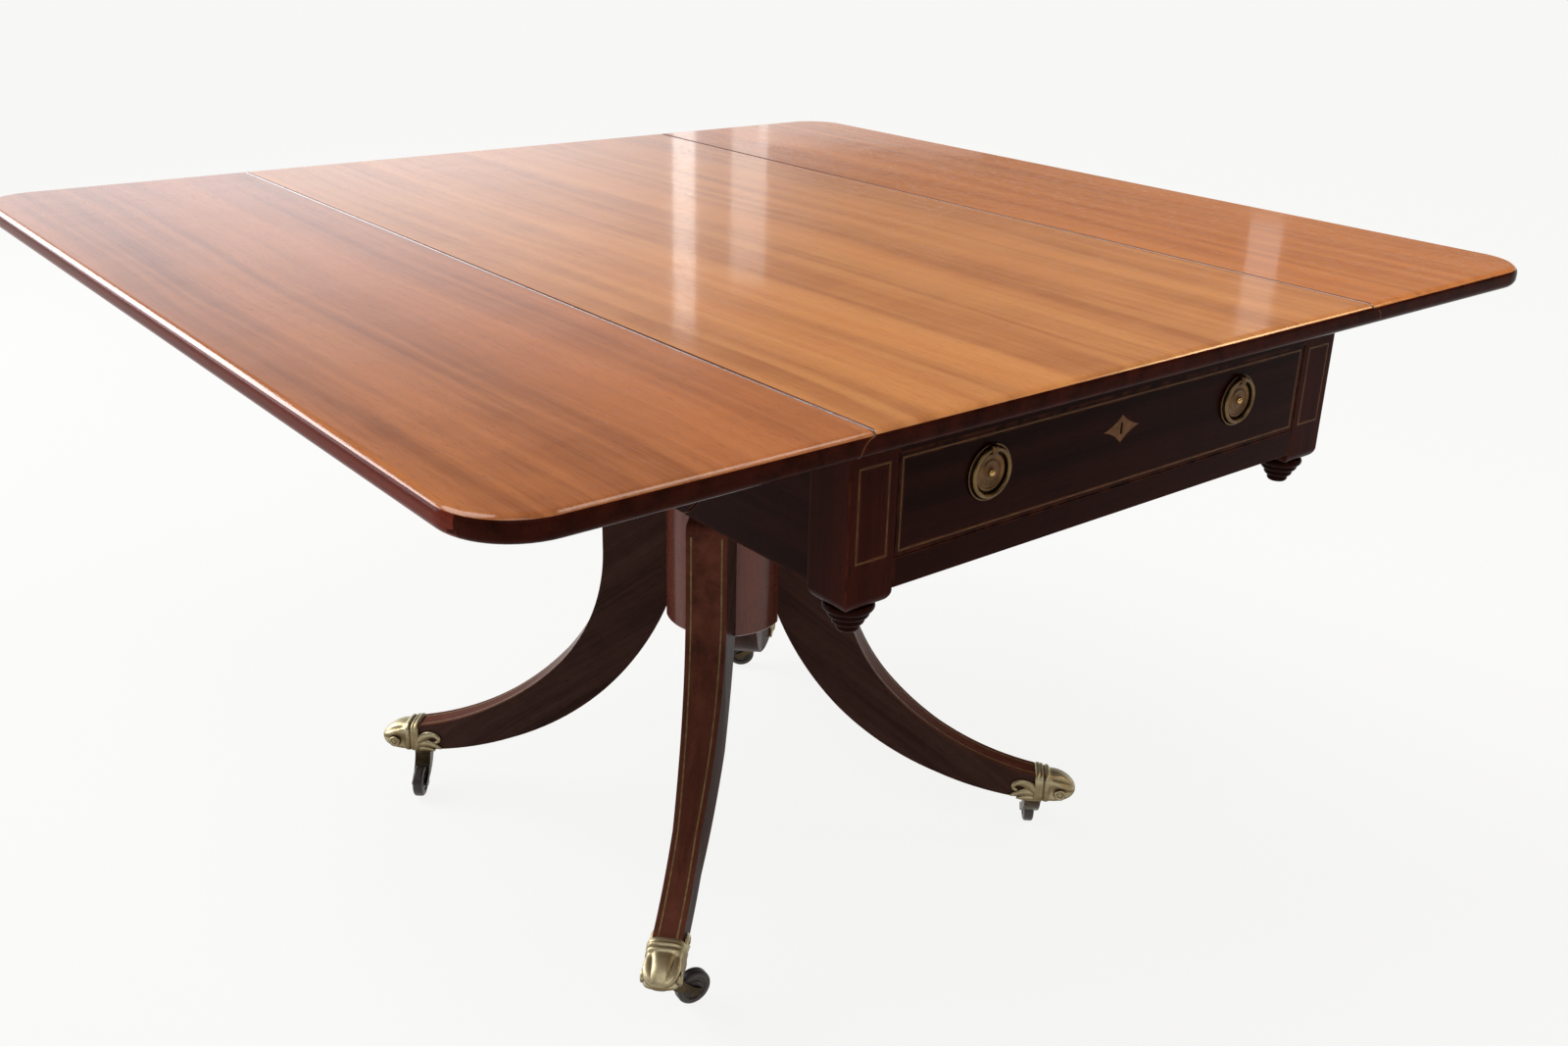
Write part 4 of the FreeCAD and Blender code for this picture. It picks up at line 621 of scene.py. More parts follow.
@dataclass(frozen=True)
class PlainStuff:
    """Inlay, iron or wheel: a mottled colour with its own gloss."""

    name: str
    main: Colour
    other: Colour
    metallic: float
    gloss: float
    dull: float
    cloud: float = 90.0
    depth: float = 0.05 * MM
    specular: float = 0.5

    def make(self, effects: Effects) -> Material:
        """Build the material.

        Args:
            effects: The shared shader groups.

        Returns:
            The finished material.
        """
        material, wires, place = new_material(self.name)
        patina = wires.group(effects.tarnish, Vector=place, Reach=3.0 * MM)
        mottle = wires.step(wires.noise(place, self.cloud, 4.0, 0.6), 0.3, 0.7)
        colour = wires.coats(
            wires.paint(mottle, self.main, self.other), (patina["Specks"], 0.35, self.other),
        )
        wires.surface(
            Base_Color=colour, Roughness=wires.between(self.gloss, self.dull, patina["Cloud"]),
            Metallic=self.metallic, Specular_IOR_Level=self.specular,
            Normal=wires.bump(patina["Height"], self.depth),
        )
        return material


Finish = Union[PolishedWood, BareWood, OldBrass, PlainStuff]


def board_polish(name: str, tones: Tuple[Colour, Colour, Colour], offset: float) -> PolishedWood:
    """Bright mahogany of one board of the top.

    Args:
        name: Name of the board.
        tones: Light, middle and dark colour.
        offset: Where in the log the board was cut, in metres.

    Returns:
        The finish.
    """
    return PolishedWood(
        f"polished_{name}", *tones, shade(176, 108, 62), Grain.ALONG, ribbons=17.0, waver=0.05,
        offset=(offset, offset, 0.0), gloss=0.05, dull=0.12, wave_height=0.12 * MM, edge_reach=2.2 * MM,
        joint_reach=306.25 * MM, rounded=True,
    )


def dark(grain: Grain, stain: Stain = Stain.FRAME) -> PolishedWood:
    """Dark mahogany of the frame, drawer and pedestal.

    Args:
        grain: Direction of the grain.
        stain: How dark and how shiny the wood is.

    Returns:
        The finish.
    """
    light, middle, deep, specular = stain.value
    return PolishedWood(
        f"{stain.name.lower()}_mahogany_{grain.name.lower()}", light, middle, deep, shade(120, 62, 38), grain,
        ribbons=34.0, gloss=0.20, dull=0.36, specular=specular,
    )


def oak(grain: Grain) -> BareWood:
    """Oak lining with its grain one way."""
    name = f"oak_{grain.name.lower()}"
    return BareWood(name, shade(176, 138, 92), shade(128, 92, 56), shade(98, 68, 42), grain)


def inlaid(name: str, main: Colour, other: Colour, specular: float) -> PlainStuff:
    """Thin inlaid wood, level with the polish round it."""
    return PlainStuff(name, main, other, 0.0, 0.30, 0.46, 140.0, 0.02 * MM, specular)


# Near black polish of the top's moulded ends, as painted shade, and the redder polish of the leaves' long
# edges, as painted light
SHADED_END_POLISH = PolishedWood(
    "polished_end", shade(72, 29, 19), shade(50, 19, 13), shade(29, 11, 7), shade(104, 52, 33),
    Grain.ALONG, ribbons=60.0, gloss=0.10, dull=0.20, specular=0.015,
)
LIT_EDGE_POLISH = PolishedWood(
    "polished_edge", shade(132, 54, 38), shade(98, 38, 26), shade(60, 23, 16), shade(140, 70, 46),
    Grain.ALONG, ribbons=60.0, gloss=0.10, dull=0.20, specular=0.03,
)
# Thick, glinting polish on the rounded arrises of the rule joints
JOINT_POLISH = PolishedWood(
    "polished_joint", shade(120, 66, 42), shade(92, 48, 30), shade(60, 30, 19), shade(140, 80, 50),
    Grain.ALONG, gloss=0.06, dull=0.10, specular=1.0,
)
UNDERSIDE = BareWood(
    "mahogany_underside", shade(104, 62, 40), shade(72, 42, 27), shade(52, 31, 21), Grain.ALONG,
)
# Dull brown lines of the frame and drawer, the lighter escutcheon, and the olive lines of the legs
INLAY = inlaid("inlay_wood", shade(106, 72, 43), shade(77, 51, 31), 0.06)
ESCUTCHEON = inlaid("escutcheon_wood", shade(124, 86, 54), shade(98, 66, 42), 0.06)
LEG_INLAY = inlaid("leg_inlay_wood", shade(146, 126, 86), shade(112, 95, 63), 0.1)
# Pale gold caps with painted shade on their sides and undersides, coppery plates, olive rings, bosses made
# bright by finger wear and painted highlight, and blackened horns
CAP_BRASS = OldBrass(
    "toe_cap_brass", shade(208, 196, 160), shade(168, 151, 112), shade(98, 77, 50), 0.40, 0.60, 4 * MM,
    below=0.85,
)
PULL_BRASS = OldBrass(
    "pull_brass", shade(106, 78, 51), shade(75, 53, 34), shade(36, 25, 16), 0.34, 0.54, 2 * MM,
)
RING_BRASS = OldBrass(
    "ring_brass", shade(116, 93, 59), shade(82, 63, 39), shade(36, 26, 17), 0.32, 0.52, 2 * MM,
)
# Bright gold of the bosses: finger wear and painted highlight
BOSS_WEAR_AND_HIGHLIGHT = OldBrass(
    "boss_wear_and_highlight", shade(206, 166, 104), shade(160, 122, 74), shade(84, 60, 36), 0.22, 0.40, 1 * MM,
)
HORN_BRASS = OldBrass(
    "horn_brass", shade(78, 64, 46), shade(48, 39, 29), shade(20, 16, 13), 0.32, 0.55, 6 * MM,
)
IRON = PlainStuff("hinge_iron", shade(92, 86, 80), shade(62, 50, 42), 1.0, 0.38, 0.62)
WHEEL = PlainStuff("castor_wheel", shade(34, 28, 26), shade(54, 42, 34), 0.0, 0.34, 0.58)


class Finishes:
    """Materials of the finishes, each made once, and the dressing of nodes and pieces with them."""

    def __init__(self) -> None:
        """Build the shared effects and start with no material made."""
        self.effects = Effects()
        self.made: Dict[str, Material] = {}

    def get(self, finish: Finish) -> Material:
        """Material of a finish, made at the first call.

        Args:
            finish: The finish.

        Returns:
            The material.
        """
        if finish.name not in self.made:
            self.made[finish.name] = finish.make(self.effects)
        return self.made[finish.name]

    def dress(self, **by_node: Finish) -> None:
        """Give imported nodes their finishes.

        Args:
            by_node: Finishes by the name of the node.
        """
        for node, finish in by_node.items():
            for slot in NODES[node].material_slots:
                slot.material = self.get(finish)
            LOG.info("node %s: %s", node, finish.name)

    def settle(self, piece: Piece, body: str, slot: str, finish: Finish, *stands_for: str) -> None:
        """Finish a new piece: material, body and the node that it stands for.

        Args:
            piece: The object, at the origin with its place in its mesh.
            body: Body that it rides on.
            slot: Not used.
            finish: Its main finish.
            stands_for: Nodes that it replaces.
        """
        paint_piece(piece, self.get(finish))
        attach(piece, body)
        if stands_for:
            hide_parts(*stands_for)
        LOG.info("piece %s: %d faces on %s", piece.name, len(piece.data.polygons), body)

    def sort_faces(self, piece: Piece, choose: Callable[[Face], int], *further: Finish) -> None:
        """Give some faces of a settled piece further finishes.

        Args:
            piece: The piece.
            choose: Gives the number of a face's finish, where 0 is the main one.
            further: The further finishes, from number 1.
        """
        for finish in further:
            piece.data.materials.append(self.get(finish))
        for face in piece.data.polygons:
            face.material_index = choose(face)


def add_object(name: str, data: bpy.types.ID) -> Piece:
    """New object, linked into the scene.

    Args:
        name: Name of the object.
        data: Its mesh, lamp or lens.

    Returns:
        The object.
    """
    item = bpy.data.objects.new(name, data)
    bpy.context.scene.collection.objects.link(item)
    return item


def clear_selection() -> None:
    """Leave edit mode and deselect every object."""
    if bpy.context.object is not None and bpy.context.object.mode != "OBJECT":
        bpy.ops.object.mode_set(mode="OBJECT")
    bpy.ops.object.select_all(action="DESELECT")


def take(piece: Piece) -> None:
    """Make a piece the only selected and active object.

    Args:
        piece: The object.
    """
    clear_selection()
    piece.select_set(True)
    bpy.context.view_layer.objects.active = piece


@contextmanager
def edit_mode(piece: Piece) -> Iterator[bmesh.types.BMesh]:
    """Work on a piece in edit mode.

    Args:
        piece: The object.

    Returns:
        Its edit mesh, for the length of the with block.
    """
    take(piece)
    bpy.ops.object.mode_set(mode="EDIT")
    bpy.ops.mesh.select_mode(type="VERT")
    yield bmesh.from_edit_mesh(piece.data)
    bpy.ops.object.mode_set(mode="OBJECT")


def pick_edges(piece: Piece, wanted: Callable[[Edge], bool]) -> int:
    """Select the edges that pass a test, in edit mode.

    Args:
        piece: The object that is being edited.
        wanted: The test.

    Returns:
        How many were selected.
    """
    bpy.ops.mesh.select_mode(type="EDGE")
    bpy.ops.mesh.select_all(action="DESELECT")
    picked = [edge for edge in bmesh.from_edit_mesh(piece.data).edges if wanted(edge)]
    for edge in picked:
        edge.select_set(True)
    bmesh.update_edit_mesh(piece.data)
    return len(picked)


def smooth(piece: Piece, degrees: float = 32.0, weighted: bool = True) -> None:
    """Shade a piece smooth up to an angle, with flat faces kept flat.

    Args:
        piece: The object.
        degrees: Largest angle that is shaded smooth.
        weighted: Whether large faces lead the normals.
    """
    take(piece)
    bpy.ops.object.shade_smooth_by_angle(angle=math.radians(degrees))
    if weighted:
        modifier = piece.modifiers.new("flat_faces", "WEIGHTED_NORMAL")
        modifier.keep_sharp = True
        bpy.ops.object.modifier_apply(modifier=modifier.name)


def paint_piece(piece: Piece, material: Material) -> None:
    """Give a whole piece one material."""
    piece.data.materials.clear()
    piece.data.materials.append(material)


def surface_of(node: str) -> BVHTree:
    """Search tree of a node's surface.

    Args:
        node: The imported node.

    Returns:
        The tree.
    """
    mesh = NODES[node].data
    points = [vertex.co.copy() for vertex in mesh.vertices]
    return BVHTree.FromPolygons(points, [tuple(face.vertices) for face in mesh.polygons])


def eased(
    node: str, width: float, inlay: Optional[str] = None, segments: int = 2, above: float = 0.0,
    clamp: bool = True, foot: float = 0.0,
) -> Piece:
    """Copy of a node with its sharp arrises eased, as sandpaper leaves them.

    Args:
        node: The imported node.
        width: Width of the rounding.
        inlay: Node whose grooves stay sharp.
        segments: Faces across the rounding.
        above: Height below which the arrises stay sharp.
        clamp: Whether short edges narrow the rounding.
        foot: Height within which the level arrises round the foot are rounded wide.

    Returns:
        The new piece.
    """
    lowest = min(vertex.co.z for vertex in NODES[node].data.vertices)
    piece = add_object(f"{node}_eased", NODES[node].data.copy())
    grooves = surface_of(inlay) if inlay else None

    def is_arris(edge: Edge) -> bool:
        """Whether an edge is a sharp outer arris away from the grooves.

        Args:
            edge: The edge.

        Returns:
            Whether it is one.
        """
        if len(edge.link_faces) != 2 or not edge.is_convex or edge.calc_face_angle(0.0) < SHARP_ANGLE:
            return False
        middle = (edge.verts[0].co + edge.verts[1].co) / 2
        if middle.z < above:
            return False
        return grooves is None or grooves.find_nearest(middle)[3] > GROOVE_CLEAR

    def is_foot(edge: Edge) -> bool:
        """Whether an arris runs level round the chamfered foot."""
        low, high = sorted(vertex.co.z for vertex in edge.verts)
        return is_arris(edge) and high < lowest + foot and high - low < LEVEL

    with edit_mode(piece):
        bpy.ops.mesh.select_all(action="SELECT")
        bpy.ops.mesh.customdata_custom_splitnormals_clear()
        bpy.ops.mesh.remove_doubles(threshold=MERGE)
        bpy.ops.mesh.dissolve_limited(angle_limit=FLAT_ANGLE)
        for wanted, offset, faces in ((is_foot, foot / 2, FOOT_FACES), (is_arris, width, segments)):
            if offset and pick_edges(piece, wanted):
                bpy.ops.mesh.bevel(
                    offset=offset, segments=faces, profile=0.5, affect="EDGES", clamp_overlap=clamp,
                )
    smooth(piece)
    return piece


def turned(name: str, profile: Profile, steps: int, unit: float = MM) -> Piece:
    """Turn a profile about the Z axis, as on a lathe.

    Args:
        name: Name of the piece.
        profile: Radius and height of each point, from the axis out and back.
        steps: Sides of the round.
        unit: Length in which the profile is given, in metres.

    Returns:
        The turned piece.
    """
    points = [Vector((radius * unit, 0.0, height * unit)) for radius, height in profile]
    clear_selection()
    bpy.ops.mesh.primitive_plane_add(size=START_SIZE)
    piece = bpy.context.object
    piece.name = piece.data.name = name
    with edit_mode(piece):
        bpy.ops.mesh.select_all(action="SELECT")
        bpy.ops.mesh.merge(type="CENTER")
        bpy.ops.transform.translate(value=points[0])
        for last, point in zip(points, points[1:]):
            bpy.ops.mesh.extrude_region_move(TRANSFORM_OT_translate={"value": point - last})
        bpy.ops.mesh.select_all(action="SELECT")
        bpy.ops.mesh.spin(steps=steps, angle=math.tau, center=(0, 0, 0), axis=(0, 0, 1))
        bpy.ops.mesh.select_all(action="SELECT")
        bpy.ops.mesh.remove_doubles(threshold=FINE_MERGE)
        bpy.ops.mesh.normals_make_consistent(inside=False)
    return piece


def move_mesh(piece: Piece, *steps: Matrix) -> Piece:
    """Move a piece's mesh by one or more transforms, the first one first.

    Args:
        piece: The object, which stays at the origin.
        steps: Transforms.

    Returns:
        The same piece.
    """
    for step in steps:
        piece.data.transform(step)
        if step.determinant() < 0:
            piece.data.flip_normals()
    piece.data.update()
    return piece


def twin(piece: Piece, name: str) -> Piece:
    """Copy of a piece with a mesh of its own.

    Args:
        piece: The model.
        name: Name of the copy.

    Returns:
        The copy.
    """
    copy = add_object(name, piece.data.copy())
    copy.data.name = name
    return copy


def joined(name: str, pieces: Sequence[Piece]) -> Piece:
    """Join pieces into one object.

    Args:
        name: Name of the result.
        pieces: The objects, of which the first is kept.

    Returns:
        The joined piece.
    """
    take(pieces[0])
    for piece in pieces[1:]:
        piece.select_set(True)
    bpy.ops.object.join()
    pieces[0].name = pieces[0].data.name = name
    return pieces[0]


@dataclass
class Top:
    """Centre board and two leaves, with the screws of their hinges."""

    finishes: Finishes
    surface: float = 725 * MM
    underside: float = 705 * MM
    arris: float = 1.8 * MM
    eased_depth: float = 1.0 * MM
    joint: float = 306 * MM
    joint_width: float = 16 * MM
    joint_depth: float = 2.16 * MM
    joint_facing: Tuple[float, float] = (0.1, 0.99)
    facing_up: float = 0.6
    facing_down: float = -0.9
    facing_aside: float = 0.5
    facing_end: float = 0.3
    hinge_spacing: float = 410 * MM
    screw_radius: float = 3.4 * MM
    screw_profile: Profile = ((0.0, 0.0), (0.82, 0.0), (1.0, 0.18), (0.9, 0.5), (0.0, 0.5))
    screw_stand: float = 0.05 * MM
    screw_turns: Tuple[float, float] = (0.7, 1.1)
    slot_width: float = 0.9 * MM
    slot_depth: float = 0.25
    slot_reach: float = 0.1

    def build(self) -> None:
        """Polish the boards, dress the hinges and drive the screws."""
        for board in Board:
            node, body, tones, offset = board.value
            piece = eased(node, self.arris, segments=3, above=self.surface - self.eased_depth, clamp=False)
            self.finishes.settle(piece, body, "top_mahogany", board_polish(node, tones, offset), node)
            self.finishes.sort_faces(
                piece, lambda face: self.side_of(face).value, SHADED_END_POLISH, UNDERSIDE, LIT_EDGE_POLISH,
                JOINT_POLISH,
            )
        self.finishes.dress(
            hinge_top_plates=IRON, hinge_pins=IRON, hinge_leaf_plates_left=IRON, hinge_leaf_plates_right=IRON,
        )
        self.drive_screws()

    def side_of(self, face: Face) -> BoardSide:
        """Which side of a board a face belongs to.

        Args:
            face: A face of the board's mesh.

        Returns:
            The side, which gives the face its finish.
        """
        facing, lengthwise = face.normal, abs(face.normal.y) < self.facing_end
        in_joint = lengthwise and abs(abs(face.center.x) - self.joint) < self.joint_width
        low, high = self.joint_facing
        if in_joint and low < facing.z < high and face.center.z > self.surface - self.joint_depth:
            return BoardSide.JOINT
        if facing.z > self.facing_up or (in_joint and facing.z > self.facing_down):
            return BoardSide.TOP
        if facing.z < self.facing_down:
            return BoardSide.UNDER
        # Long edges take the redder polish as painted light; ends take the near black one as painted shade
        return BoardSide.EDGE if lengthwise and abs(facing.x) > self.facing_aside else BoardSide.END

    def one_screw(self) -> Piece:
        """Countersunk head with a slot, facing down, centred on the origin.

        Returns:
            The screw's head.
        """
        radius = self.screw_radius
        head = turned("screw_head", self.screw_profile, steps=20, unit=radius)
        with edit_mode(head):
            for side in HANDS.values():
                bpy.ops.mesh.select_all(action="SELECT")
                bpy.ops.mesh.bisect(
                    plane_co=(0, side * self.slot_width / 2, 0), plane_no=(0, 1, 0), threshold=FINE_MERGE,
                )
            mesh = bmesh.from_edit_mesh(head.data)
            bpy.ops.mesh.select_mode(type="FACE")
            bpy.ops.mesh.select_all(action="DESELECT")
            for face in mesh.faces:
                middle = face.calc_center_median()
                if abs(middle.y) < self.slot_width / 2 and middle.z < self.slot_reach * radius:
                    face.select_set(True)
            bmesh.update_edit_mesh(head.data)
            inward = (0, 0, self.slot_depth * radius)
            bpy.ops.mesh.extrude_region_move(TRANSFORM_OT_translate={"value": inward})
        return head

    def drive_screws(self) -> None:
        """Screws of the back-flap hinges: two in each top plate, three in each leaf plate."""
        head = self.one_screw()
        plates = (
            ("top", "frame", ((-14, -19), (-14, 19))),
            ("leaf", "leaf_{}_body", ((16, 0), (33, -19), (33, 19))),
        )
        by_screw, by_hinge = self.screw_turns
        height = self.underside - self.screw_stand
        for hand, side in HANDS.items():
            for word, body, spots in plates:
                heads = []
                for hinge in (-1, 0, 1):
                    for count, (out, along) in enumerate(spots):
                        x = side * (self.joint + out * MM)
                        y = hinge * self.hinge_spacing + along * MM
                        turn = Matrix.Rotation(by_screw * count + by_hinge * hinge, 4, "Z")
                        screw = twin(head, f"screw_{hand}_{word}_{hinge + 1}_{count}")
                        heads.append(move_mesh(screw, turn, Matrix.Translation((x, y, height))))
                piece = joined(f"hinge_screws_{hand}_{word}", heads)
                smooth(piece, weighted=False)
                self.finishes.settle(piece, body.format(hand), "iron", IRON)
        bpy.data.objects.remove(head)


@dataclass
class Frame:
    """Posts, rails, drops and fly brackets under the top."""

    finishes: Finishes
    post_ease: float = 1.2 * MM
    rail_ease: float = 0.8 * MM
    post_foot: float = 8.0 * MM

    def build(self) -> None:
        """Ease the arrises of what shows and polish it all."""
        for corner in CORNERS:
            post = eased(f"post_{corner}", self.post_ease, "frame_stringing", foot=self.post_foot)
            polish = dark(Grain.UPRIGHT, Stain.POST)
            self.finishes.settle(post, "frame", "dark_mahogany", polish, f"post_{corner}")
            self.ease_rail(f"fly_bracket_{corner}", f"bracket_{corner}", Grain.ALONG)
        for hand in HANDS:
            self.ease_rail(f"fly_rail_{hand}", "frame", Grain.ALONG)
        self.ease_rail("back_rail", "frame", Grain.ACROSS, "frame_stringing")
        self.ease_rail("drawer_rail_bottom", "frame", Grain.ACROSS)
        lining = oak(Grain.ALONG)
        self.finishes.dress(
            drawer_rail_top=dark(Grain.ACROSS), corner_drops=dark(Grain.UPRIGHT), fly_pins=IRON,
            frame_stringing=INLAY, side_rail_left=lining, side_rail_right=lining, drawer_runners=lining,
            drawer_kickers=lining,
        )

    def ease_rail(self, node: str, body: str, grain: Grain, inlay: Optional[str] = None) -> None:
        """Replace a rail or a bracket by its eased copy, with the grooves of an inlay kept sharp."""
        piece = eased(node, self.rail_ease, inlay)
        self.finishes.settle(piece, body, "dark_mahogany", dark(grain), node)


@dataclass
class Drawer:
    """Drawer box with its inlaid front and lock."""

    finishes: Finishes
    front_ease: float = 0.8 * MM

    def build(self) -> None:
        """Ease the front and dress the box."""
        front = eased("drawer_front", self.front_ease, "drawer_stringing")
        self.finishes.settle(front, "drawer", "dark_mahogany", dark(Grain.ACROSS), "drawer_front")
        lining = oak(Grain.ALONG)
        self.finishes.dress(
            drawer_side_left=lining, drawer_side_right=lining, drawer_bottom=lining,
            drawer_back=oak(Grain.ACROSS), drawer_stringing=INLAY, drawer_escutcheon=ESCUTCHEON,
            drawer_lock=PULL_BRASS, lock_bolt=PULL_BRASS,
        )


@dataclass
class RingPulls:
    """Four round back plates with their lugs and rings."""

    finishes: Finishes
    offset: float = 157 * MM
    height: float = 653 * MM
    drawer_face: float = 547.4 * MM
    back_face: float = 548 * MM
    ring_radius: float = 19.3 * MM
    boss_radius: float = 3.3 * MM
    lug_size: Triple = (6.0 * MM, 7.6 * MM, 6.6 * MM)
    lug_height: float = 3.9 * MM
    lug_round: float = 2.4 * MM
    lug_ease: float = 0.4 * MM
    lug_sharp: float = 0.9
    mouldings: Profile = (
        (0.0, 6.0), (1.6, 5.7), (2.7, 4.9), (3.2, 3.9), (3.3, 3.0), (4.6, 2.7), (5.0, 2.5), (7.6, 2.1),
        (8.2, 2.4), (9.0, 2.6), (9.8, 2.4), (10.3, 1.9), (12.4, 1.7), (13.2, 2.2), (14.4, 2.7), (15.4, 2.5),
        (16.2, 1.8), (16.6, 1.2), (21.0, 1.2), (21.6, 1.7), (22.2, 2.1), (22.9, 2.1), (23.4, 1.7),
        (23.5, 1.1), (23.5, 0.0), (0.0, 0.0),
    )

    def lug(self) -> Piece:
        """Rounded block at the head of the plate that the ring hangs in.

        Returns:
            The block.
        """
        clear_selection()
        bpy.ops.mesh.primitive_cube_add(size=1.0)
        block = bpy.context.object
        block.name = "ring_lug"
        with edit_mode(block):
            bpy.ops.mesh.select_all(action="SELECT")
            bpy.ops.transform.resize(value=self.lug_size)
            bpy.ops.transform.translate(value=(0.0, self.ring_radius, self.lug_height))
            pick_edges(block, lambda edge: min(vertex.co.z for vertex in edge.verts) > self.lug_height)
            bpy.ops.mesh.bevel(offset=self.lug_round, segments=4, affect="EDGES")
            pick_edges(
                block, lambda edge: len(edge.link_faces) == 2 and edge.calc_face_angle(0) > self.lug_sharp,
            )
            bpy.ops.mesh.bevel(offset=self.lug_ease, segments=2, affect="EDGES")
        return block

    def build(self) -> None:
        """Turn one plate, copy it to the four places and dress the rings."""
        model = joined("pull_plate", [turned("pull_plate", self.mouldings, steps=96), self.lug()])
        smooth(model, degrees=40.0, weighted=False)
        upright = Matrix.Rotation(math.pi / 2, 4, "X")
        for word, end, reach, node, body in (
            ("front", -1, self.drawer_face, "drawer_pull_plates", "drawer"),
            ("back", 1, self.back_face, "back_pull_plates", "frame"),
        ):
            facing = Matrix.Rotation(0.0 if end < 0 else math.pi, 4, "Z")
            for hand, side in HANDS.items():
                middle = Vector((side * self.offset, end * reach, self.height))
                plate = twin(model, f"pull_plate_{word}_{hand}")
                move_mesh(plate, upright, facing, Matrix.Translation(middle))
                self.finishes.settle(plate, body, "brass", PULL_BRASS, node)
                # The boss takes the bright brass: worn by fingers and painted highlight
                self.finishes.sort_faces(
                    plate, lambda face: int((face.center - middle).xz.length < self.boss_radius), BOSS_WEAR_AND_HIGHLIGHT,
                )
                self.finishes.dress(**{f"pull_ring_{word}_{hand}": RING_BRASS})
        bpy.data.objects.remove(model)


@dataclass
class Pedestal:
    """Bearers, block, column and four sabre legs."""

    finishes: Finishes
    leg_ease: float = 3.2 * MM
    block_ease: float = 1.5 * MM
    face_tilt: float = 0.6
    face_share: float = 0.5

    def build(self) -> None:
        """Ease the legs and the block and polish it all."""
        for corner, degrees in CORNERS.items():
            leg = eased(f"leg_{corner}", self.leg_ease, "leg_stringing", segments=4)
            grain = Grain[f"LEG_{corner.upper()}"]
            self.finishes.settle(leg, "frame", "dark_mahogany", dark(grain, Stain.LEG), f"leg_{corner}")
            turn = math.radians(degrees)
            outward = Vector((math.cos(turn), math.sin(turn), self.face_tilt)).normalized()
            # Outward faces take the lighter leg colour as painted light; the sides keep the darker one as
            # painted shade
            upper = dark(grain, Stain.LEG_FACE)
            self.finishes.sort_faces(
                leg, lambda face: int(face.normal.dot(outward) > self.face_share), upper,
            )
        block = eased("pedestal_block", self.block_ease)
        self.finishes.settle(block, "frame", "dark_mahogany", dark(Grain.ALONG), "pedestal_block")
        self.finishes.dress(
            pedestal_column=dark(Grain.UPRIGHT, Stain.COLUMN), pedestal_bearers=oak(Grain.ACROSS),
            leg_stringing=LEG_INLAY,
        )


